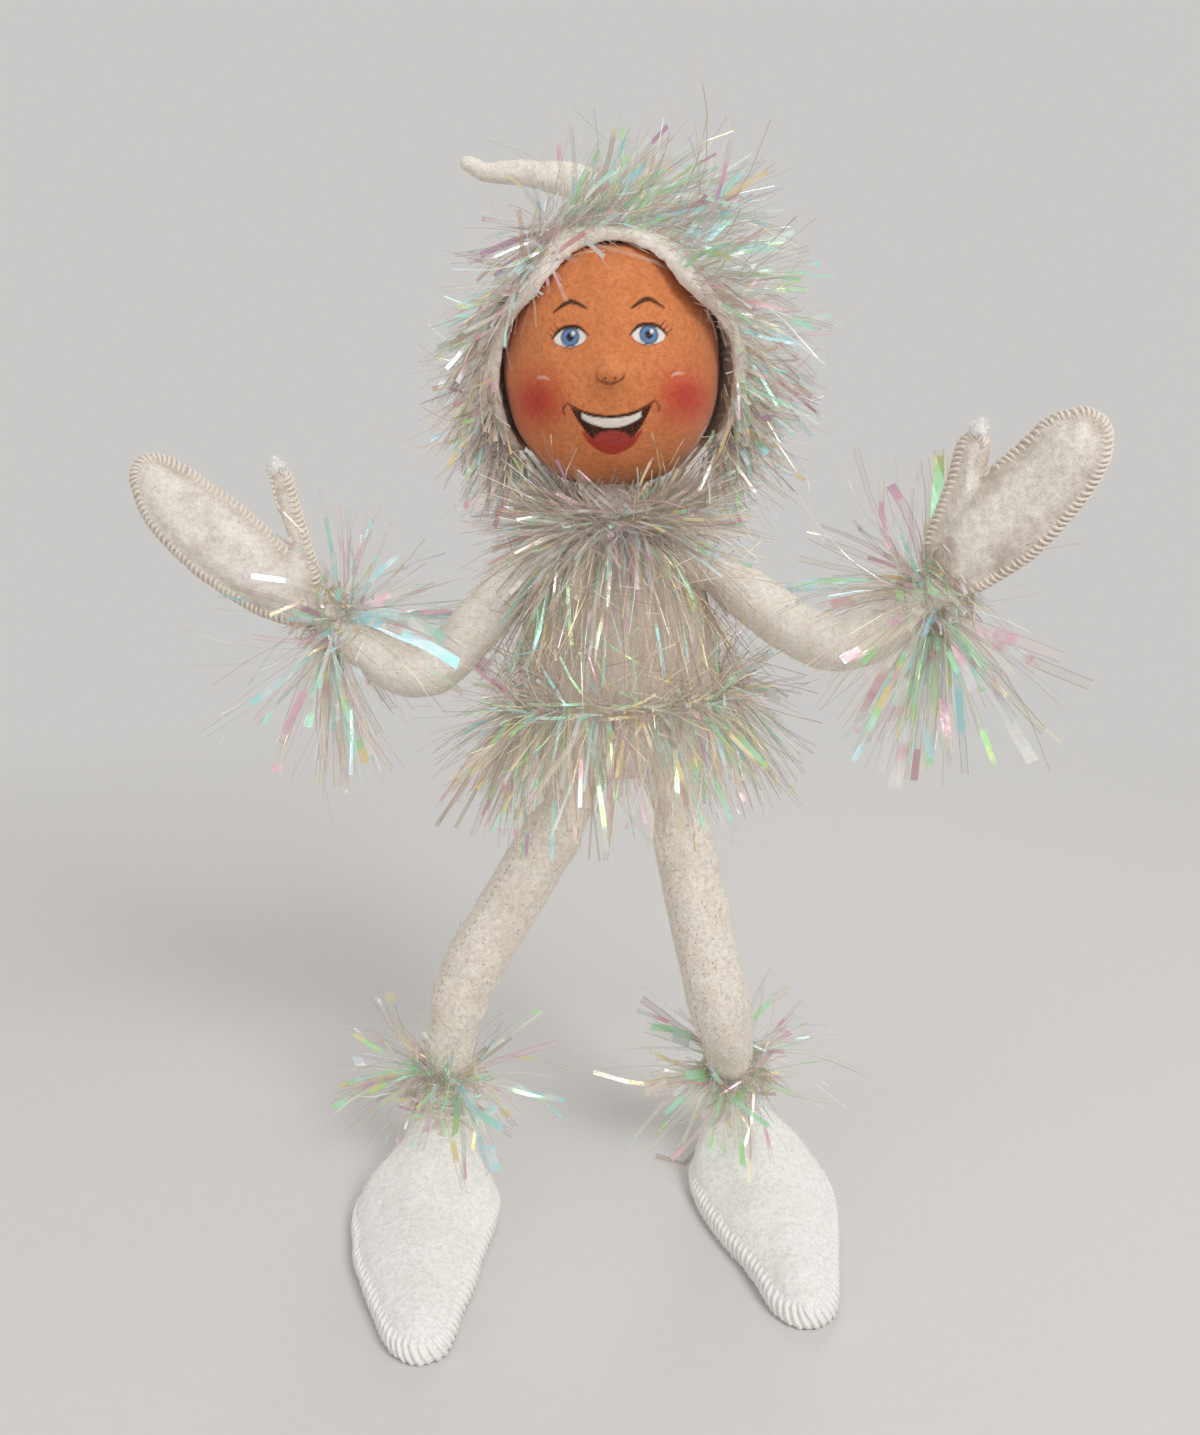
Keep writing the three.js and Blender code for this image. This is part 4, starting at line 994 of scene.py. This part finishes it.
def back_seam():
    """Running stitches down the middle of the hood's back."""
    skin = tree_of(hood)
    _, deep, z = egg(HEAD_FORM, HEAD, 400, HOOD_GAP + HOOD_WALL)
    paths = []
    for h in np.arange(HOOD_HEM + 2 * MM, HEAD[2] - 7 * MM, 2.1 * MM):
        heights = [h + 0.25 * MM * k for k in range(5)]
        guesses = [head_frame @ Vector((0, np.interp(up, z, deep), up)) for up in heights]
        paths.append(laid(skin, guesses, 0.1 * MM, 0.06 * MM))
    return threads("hood_seam", paths, RUN_THREAD, COTTON)


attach(back_seam(), "head")
for o in (hood, nap(hood, 4200)):
    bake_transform(o)
stuffed(hood, 0.3, "white_felt", "hood_felt", "cap_tail_felt")

# Tinsel: shares of the films in each mix, in the order of FILMS; lengths and widths are in millimetres
FINE = (10, 5, 1, 0.3, 0.3, 0.3, 0.4, 0.5)
# TAN leans on the darker copy of the hair film: painted shade of strands in shade
TAN = (2, 10, 2, 0.2, 0.3, 0.3, 0.4, 0.3)
FLAT = (0, 1.5, 7.5, 2.1, 1.3, 1.3, 0.8, 1.6)
LEAFY = (0, 1.5, 5, 1.8, 2.8, 0.7, 1.8, 0.8)
LIME = (0, 0.6, 4.5, 1.0, 5, 0.5, 1.8, 0.6)
BROAD = (0, 0, 6, 2.2, 2.2, 1.4, 0.9, 1.0)
WRAP = (2, 3, 5, 1.0, 1.8, 0.6, 1.2, 1.0)
SHINY = (0, 0, 2.5, 5, 2.5, 0.7, 0.5, 4)
KNOTS = 5  # points along a strip
TOUSLE = 0.3  # how far neighbouring strips lean together


def mixed(n, shares):
    return rng.choice(len(FILMS), size=n, p=np.array(shares) / sum(shares))


def spread(sizes, count):
    low, high = sizes
    return rng.uniform(low * MM, high * MM, count)


def within_box(path):
    """Shortens the strands that would stand too far out of the doll's overall box."""
    low, high = np.array(cad_box[0]) - STRAY, np.array(cad_box[1]) + STRAY
    step = path - path[:, :1]
    far = np.maximum(step.max(axis=1) / np.maximum(high - path[:, 0], MM),
                     step.min(axis=1) / np.minimum(low - path[:, 0], -MM))
    return path[:, :1] + step / np.maximum(far.max(axis=1), 1)[:, None, None]


def unit(vectors):
    return vectors / np.linalg.norm(vectors, axis=-1)[..., None]


def ribbons(roots, ways, lengths, widths, films, bend, fall, clear):
    """Strips of film from their roots along their ways, curved, twisted and cut square."""
    n = len(roots)
    ways = unit(ways)
    ways = unit(ways + TOUSLE * np.array([noise.noise_vector(Vector(p) / (6 * MM))[:] for p in roots]))
    aside = unit(np.cross(ways, rng.normal(size=(n, 3))))
    curve = bend * rng.normal(size=n)
    t = np.linspace(0, 1, KNOTS)[None, :, None]
    reach = ways[:, None, :] * t + aside[:, None, :] * curve[:, None, None] * t**2
    path = roots[:, None, :] + lengths[:, None, None] * reach
    path[:, :, 2] -= (lengths * fall)[:, None] * t[0, :, 0] ** 2
    path = within_box(clear(path))
    along = unit(np.gradient(path, axis=1))
    across = unit(np.cross(along, aside[:, None, :]))
    turn = (rng.uniform(0, math.pi, n)[:, None] + rng.normal(0, 0.5, n)[:, None] * t[0, :, 0])[:, :, None]
    flat = np.cos(turn) * across + np.sin(turn) * np.cross(along, across)
    half = (widths / 2)[:, None, None] * np.where(t < 0.12, 0.6, 1)
    verts = np.stack([path - flat * half, path + flat * half], axis=2).reshape(n, -1, 3)
    length = rng.uniform(0, 400, n)[:, None] + lengths[:, None] / (10 * MM) * t[0, :, 0]
    strip = np.stack([np.tile((0.0, 1.0), (n, KNOTS, 1)), np.repeat(length[:, :, None], 2, axis=2)], axis=3)
    return verts, films, strip.reshape(n, -1, 2)


def tinsel(name, sets, keep=None):
    """One mesh of several sets of strips, or of those whose root is one to keep."""
    verts, films, strip = (np.concatenate(part) for part in zip(*sets))
    if keep:
        chosen = keep(verts[:, 0])
        verts, films, strip = verts[chosen], films[chosen], strip[chosen]
    start = np.arange(KNOTS - 1) * 2
    one = np.column_stack([start, start + 1, start + 3, start + 2])
    faces = (one[None] + (np.arange(len(verts)) * 2 * KNOTS)[:, None, None]).reshape(-1, 4)
    obj = piece(name, verts.reshape(-1, 3), faces.tolist(), *FILMS)
    obj.data.polygons.foreach_set("material_index", np.repeat(films, KNOTS - 1).astype(np.int32))
    uv = strip.reshape(-1, 2)[faces.ravel()]
    obj.data.uv_layers.new(name="strip").data.foreach_set("uv", uv.ravel())
    obj.data.shade_flat()
    return obj


def pushed_out(path, m, radii, low, high, least):
    """Moves the points that lie inside a stuffed form out to its surface."""
    back = np.array(m.inverted())
    p = path @ back[:3, :3].T + back[:3, 3]
    z = p[:, :, 2]
    wide, deep = radii(z)
    far = np.hypot(p[:, :, 0] / wide, p[:, :, 1] / deep)
    inside = (far < 1) & (z > low) & (z < high)
    p[:, :, :2] *= np.where(inside, 1 / np.maximum(far, least), 1)[:, :, None]
    return to_world(m, p.reshape(-1, 3)).reshape(path.shape)


def off_head(path):
    wide, deep, z = egg(HEAD_FORM, HEAD, 200, 1.2 * MM)

    def radii(height):
        return (np.maximum(np.interp(height, z, half), MM) for half in (wide, deep))

    return pushed_out(path, head_frame, radii, z[0], z[-1], 0.15)


def off_body(path):
    def radii(height):
        return (half + 0.9 * MM for half in torso_radius(height))

    return pushed_out(path, torso_frame, radii, TORSO_DROP + MM, math.inf, 0.2)


def above_floor(path):
    path[:, :, 2] = np.maximum(path[:, :, 2], 1.2 * MM)
    return path


def hood_edge(count, setback):
    """Points behind the hood's edge from the doll's right hem over the top to the left hem."""
    wide, deep, z = egg(HEAD_FORM, HEAD, 600, HOOD_GAP + HOOD_WALL)
    a = opening(deep, z, setback)
    ok = (z > HOOD_HEM - 3 * MM) & (a > 0.01)
    half = np.column_stack([wide[ok] * np.sin(a[ok]), -deep[ok] * np.cos(a[ok]), z[ok]])
    whole = np.concatenate([half * (-1, 1, 1), half[::-1]])
    s = np.concatenate([[0], np.cumsum(np.linalg.norm(np.diff(whole, axis=0), axis=1))])
    at = rng.uniform(0, s[-1], count)
    return np.column_stack([np.interp(at, s, whole[:, k]) for k in range(3)])


def hood_strands(count, lengths, widths, shares, bend, kind=""):
    """Combed from a parting above the doll's right brow: down its right side, and over to its left.

    The kinds are strands along the jaw, at the rim over the face, and across the brow."""
    jaw, rim, across = (word in kind for word in ("jaw", "rim", "across"))
    local = hood_edge(count * 6 if jaw or across else count, 2 * MM if rim else 5 * MM)
    if jaw:
        local = local[local[:, 2] < 24 * MM][:count]
    if across:
        turn = np.arctan2(local[:, 0], local[:, 2] - HEAD[2] * 0.5)
        local = local[(turn > -0.8) & (turn < 0.1)][:count]
    count = len(local)
    out = local - np.array([0, local[:, 1].mean(), HEAD[2] * 0.5])
    out[:, 1] = 0
    out = unit(out)
    around = np.arctan2(out[:, 0], out[:, 2])
    swept = (1 / (1 + np.exp(-(around + 0.3) / 0.08)))[:, None]
    side = np.clip((around - 0.5) / 0.9, 0, 1)[:, None]
    over = np.array([1.1, 0.0, 0.32]) * (1 - side) + np.array([0.6, 0.0, -0.55]) * side
    comb = swept * over + (1 - swept) * np.array([-0.5, 0.0, -0.7])
    if jaw:
        comb = np.column_stack([0.1 * np.sign(local[:, 0]), np.full(count, -0.35), np.full(count, -0.9)])
    if across:
        comb = np.tile((0.8, -0.1, 0.42), (count, 1))
    if rim:
        comb = 0.8 * comb - (0, 0.75, 0)
    ways = (0.1 if rim else 0.45) * out + comb + rng.normal(0, 0.4 if rim else 0.3, (count, 3)) * (1, 1.2, 1)
    roots = to_world(head_frame, local + 0.6 * MM * out + rng.normal(0, 1.0 * MM, (count, 3)))
    crown = swept[:, 0] * (1 - 0.7 * side[:, 0])
    reach = spread(lengths, count) * (0.8 + 0.45 * crown)
    # Strands on the crown and the combed side take the shiny films more often: painted highlights where light
    # falls on the hood's top
    lit_crown = (rng.random(count) < 0.7 * crown) & (widths[1] > 0.4)
    films = np.where(lit_crown, mixed(count, SHINY), mixed(count, shares))
    return ribbons(roots, to_world(head_frame.to_3x3().to_4x4(), ways), reach, spread(widths, count), films,
                   bend, 0.12, off_head)


hood_tinsel = tinsel("hood_strands", [
    hood_strands(560, (11, 25), (0.14, 0.26), FINE, 0.5),
    hood_strands(660, (10, 24), (0.5, 1.4), FLAT, 0.28),
    hood_strands(260, (8, 17), (0.14, 0.3), FINE, 0.3, "jaw"),
    hood_strands(260, (8, 17), (0.5, 1.2), FLAT, 0.2, "jaw"),
    hood_strands(420, (5, 13), (0.14, 0.3), FINE, 0.3, "rim"),
    hood_strands(240, (6, 14), (0.5, 1.1), FLAT, 0.3, "rim"),
    hood_strands(130, (12, 24), (0.14, 0.26), FINE, 0.45, "across"),
    hood_strands(110, (11, 23), (0.5, 1.2), FLAT, 0.3, "across"),
    hood_strands(130, (7, 15), (0.14, 1.0), WRAP, 0.3, "jaw rim"),
])
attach(hood_tinsel, "head")
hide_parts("hood_tinsel")


def ring_strands(m, radii, height, count, lengths, widths, shares, lift, bend, fall, out=1.0, *, clear,
                 front=math.pi, around=0.0, sway=0.0, bundles=0, open_front=0.0, ahead=-math.pi / 2):
    """Strands from a ring about the Z axis of the frame m; lift gives the range of rise against reach."""
    a = ahead + rng.uniform(open_front, front, count) * rng.choice((-1, 1), count)
    rise = rng.uniform(*lift, count)
    if bundles:
        pick = rng.integers(0, bundles, count)
        a = rng.uniform(0, 2 * math.pi, bundles)[pick] + rng.normal(0, 0.14, count)
        rise = rng.uniform(*lift, bundles)[pick] + rng.normal(0, 0.2, count)
    local = np.column_stack([radii[0] * np.cos(a), radii[1] * np.sin(a), np.full(count, height)])
    local += rng.normal(0, 0.9 * MM, (count, 3))
    local[:, 2] += sway * (np.cos(a) + 0.5 * np.sin(3 * a + 1))
    turn = around * rng.choice((-1, 1), count)
    ways = np.column_stack([out * np.cos(a) - turn * np.sin(a), out * np.sin(a) + turn * np.cos(a), rise])
    ways += rng.normal(0, 0.14 if bundles else 0.3, (count, 3))
    return ribbons(to_world(m, local), to_world(m.to_3x3().to_4x4(), ways), spread(lengths, count),
                   spread(widths, count), mixed(count, shares), bend, fall, clear)


body_ring = partial(ring_strands, torso_frame, clear=off_body)
TOP = TORSO_DROP + TORSO[2] - MM
COLLAR = (10.5 * MM, 9 * MM)
THROAT = (7 * MM, 7 * MM)
NAPE = (9 * MM, 8 * MM)
nape_ring = partial(body_ring, NAPE, TOP + MM, clear=off_head, open_front=0.9)
collar = tinsel("collar_strands", [
    body_ring(COLLAR, TOP, 700, (12, 29), (0.14, 0.26), FINE, (-0.8, 0.7), 0.3, 0.15),
    body_ring(COLLAR, TOP, 460, (12, 28), (0.5, 1.1), FLAT, (-0.8, 0.6), 0.14, 0.15),
    body_ring(COLLAR, TOP - 2 * MM, 420, (24, 40), (0.14, 0.3), TAN, (-2.6, -1.2), 0.2, 0.2),
    body_ring(COLLAR, TOP - 2 * MM, 150, (18, 34), (0.5, 1.0), LEAFY, (-2.6, -1.2), 0.1, 0.2),
    body_ring(COLLAR, TOP + 2 * MM, 300, (11, 22), (0.3, 1.0), FLAT, (-0.4, 0.5), 0.2, 0.1, 0.4,
              front=1.4, around=1.0),
    body_ring(THROAT, TOP + 3 * MM, 420, (5, 10), (0.2, 0.8), FINE, (0.2, 1.6), 0.3, 0.0, 0.7,
              open_front=0.5),
    nape_ring(620, (14, 27), (0.14, 0.3), TAN, (0.2, 1.2), 0.35, 0.05),
    nape_ring(240, (13, 26), (0.5, 1.1), FLAT, (0.1, 1.1), 0.2, 0.05),
])
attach(collar, "torso")
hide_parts("collar_tinsel")


def body_radii(height, proud):
    return tuple(float(r) + proud for r in torso_radius(np.array(height)))


WAIST = TORSO_DROP + 20 * MM
CHEST = (37 * MM, 46 * MM, 55 * MM)
waist_ring = partial(body_ring, body_radii(WAIST, 1.5 * MM), WAIST, sway=1.6 * MM)
waist_band = tinsel("waist_band_strands", [
    waist_ring(460, (10, 24), (0.14, 0.28), TAN, (-0.4, 1.6), 0.4, 0.05, 0.8),
    waist_ring(90, (9, 19), (0.5, 0.9), FLAT, (-0.4, 1.1), 0.2, 0.05, 0.8),
    waist_ring(420, (9, 18), (0.2, 0.8), WRAP, (-0.4, 0.5), 0.3, 0.0, 0.2, around=1.0),
    *(body_ring(body_radii(h, MM), h, 110, (12, 24), (0.14, 0.4), TAN, (-0.7, 0.7), 0.4, 0.0, 0.05,
                around=1.0) for h in CHEST),
])
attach(waist_band, "torso")
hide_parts("waist_tinsel")
for s, sign in zip(SIDES, (-1, 1)):
    skirt = tinsel(f"{s}_skirt_strands", [
        waist_ring(560, (14, 28), (0.14, 0.28), TAN, (-2.2, -0.3), 0.3, 0.15, 0.8),
        waist_ring(430, (15, 31), (0.6, 1.4), LEAFY, (-2.3, -0.3), 0.12, 0.15, 0.8),
    ], lambda root: sign * (root[:, 0] - torso_frame.translation.x) >= 0)
    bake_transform(skirt)


def cuff(s, name, body, near, back, radius, counts, long, lift, shares):
    """Loose strands round the end of a limb, over a wrap of short ones."""
    body = f"{s}_{body}"
    far = pivot(f"{s}_{name}")
    way = (far - pivot(f"{s}_{near}")).normalized()
    m = upright(far, way) if abs(way.x) < 0.95 else way.to_track_quat("Z", "Y").to_matrix().to_4x4()
    m.translation = far - way * back
    ring = partial(ring_strands, m, clear=above_floor)
    r, outer, wound = ((radius + proud * MM,) * 2 for proud in (0, 1.8, 0.8))
    hair, slim, wide, behind = counts
    strands = tinsel(f"{s}_{name}_strands", [
        ring(r, 0, hair, (0.5 * long, long), (0.12, 0.24), FINE, lift, 0.45, 0.12),
        ring(r, 0, slim, (0.5 * long, long), (0.7, 1.5), shares, lift, 0.3, 0.12, bundles=11),
        ring(r, 0, wide, (0.55 * long, long), (1.8, 2.8), shares, lift, 0.2, 0.12, bundles=9),
        ring(outer, -2 * MM, behind, (0.35 * long, 0.7 * long), (0.4, 1.4), shares, (-1.2, 0.9),
             0.3, 0.1, 0.7, front=1.3, ahead=math.pi / 2),
    ])
    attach(strands, body)
    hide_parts(f"{s}_{name}_tinsel")
    wrap = tinsel(f"{s}_{name}_wrap", [
        ring(wound, back - 8 * MM + 1.6 * k * MM, 46, (5, 9), (0.3, 1.0), WRAP, (-0.5, 0.5),
             0.2, 0.0, 0.25, around=1.0) for k in range(9)])
    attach(wrap, body)


for s in SIDES:
    cuff(s, "wrist", "forearm", "elbow", 3 * MM, 3.4 * MM, (110, 80, 56, 24), 35, (-1.9, 0.8), BROAD)
    cuff(s, "ankle", "shin", "knee", 5 * MM, 4.9 * MM, (46, 54, 26, 50), 29, (-1.5, 0.9), LIME)

for name, node in frame["nodes"].items():
    if name.endswith("_wire"):
        node.data.materials.clear()
        node.data.materials.append(STEEL)

# Stage, light and camera
FLOOR_SIDES = 96
AIM = Vector((0, 0, 0.13))
LAMPS = (("key", (0.6, -0.75, 0.9), 0.5, 8.4), ("fill", (-0.8, -0.6, 0.4), 0.7, 1.7),
         ("rim", (0.1, 0.9, 0.75), 0.5, 2.4))  # place, size and power
CAMERA = ((0.99961, -0.00496, 0.02741, 0.009), (0.02786, 0.17801, -0.98363, -0.261),
          (0, 0.98402, 0.17808, 0.172), (0, 0, 0, 1))


def studio():
    n = Finish("floor_paper")
    n.set(Base_Color=n.mix(n.noise(300, 3, 0.6), (0.66, 0.645, 0.63), (0.69, 0.675, 0.66)))
    n.set(Roughness=0.9, Specular_IOR_Level=0.1)
    far = n.add("VectorMath", n.place, settings={"operation": "LENGTH"}).outputs["Value"]
    clear = n.add("BsdfTransparent").outputs[0]
    fade = n.add("MixShader", n.ramp(far, 0.3, 0.75), n.shader.outputs[0], clear).outputs[0]
    n.put(n.tree.nodes["Material Output"].inputs["Surface"], fade)
    a = np.linspace(0, 2 * math.pi, FLOOR_SIDES, endpoint=False)
    level = np.full(FLOOR_SIDES, -0.1 * MM)
    rings = [np.column_stack([r * np.cos(a), r * np.sin(a), level]) for r in (0.8, 0.3)]
    faces = [*grid(2, FLOOR_SIDES), tuple(range(FLOOR_SIDES, 2 * FLOOR_SIDES))]
    piece("floor", np.concatenate(rings), faces, n.owner)

    world = Nodes(bpy.data.worlds.new("studio"))
    scene.world = world.owner
    lit = world.tree.nodes["Background"]
    world.put(lit.inputs["Color"], (1.0, 0.98, 0.96))
    world.put(lit.inputs["Strength"], 0.48)
    seen = world.add("Background", Color=(0.6, 0.585, 0.57)).outputs[0]
    rays = world.add("LightPath").outputs
    both = world.math("MAXIMUM", rays["Is Camera Ray"], rays["Is Transmission Ray"])
    mix = world.add("MixShader", both, lit.outputs[0], seen).outputs[0]
    world.put(world.tree.nodes["World Output"].inputs["Surface"], mix)

    for name, place, size, power in LAMPS:
        light = bpy.data.lights.new(name, "AREA")
        light.size = size
        light.energy = power
        lamp = bpy.data.objects.new(name, light)
        lamp.location = place
        lamp.rotation_euler = (AIM - Vector(place)).to_track_quat("-Z", "Y").to_euler()
        scene.collection.objects.link(lamp)

    camera = bpy.data.cameras.new("camera")
    camera.sensor_width = 36
    camera.lens = 28.35
    camera.clip_start = 0.01
    eye = bpy.data.objects.new("camera", camera)
    eye.matrix_world = Matrix(CAMERA)
    scene.collection.objects.link(eye)
    scene.camera = eye
    scene.view_settings.view_transform = "Standard"


studio()
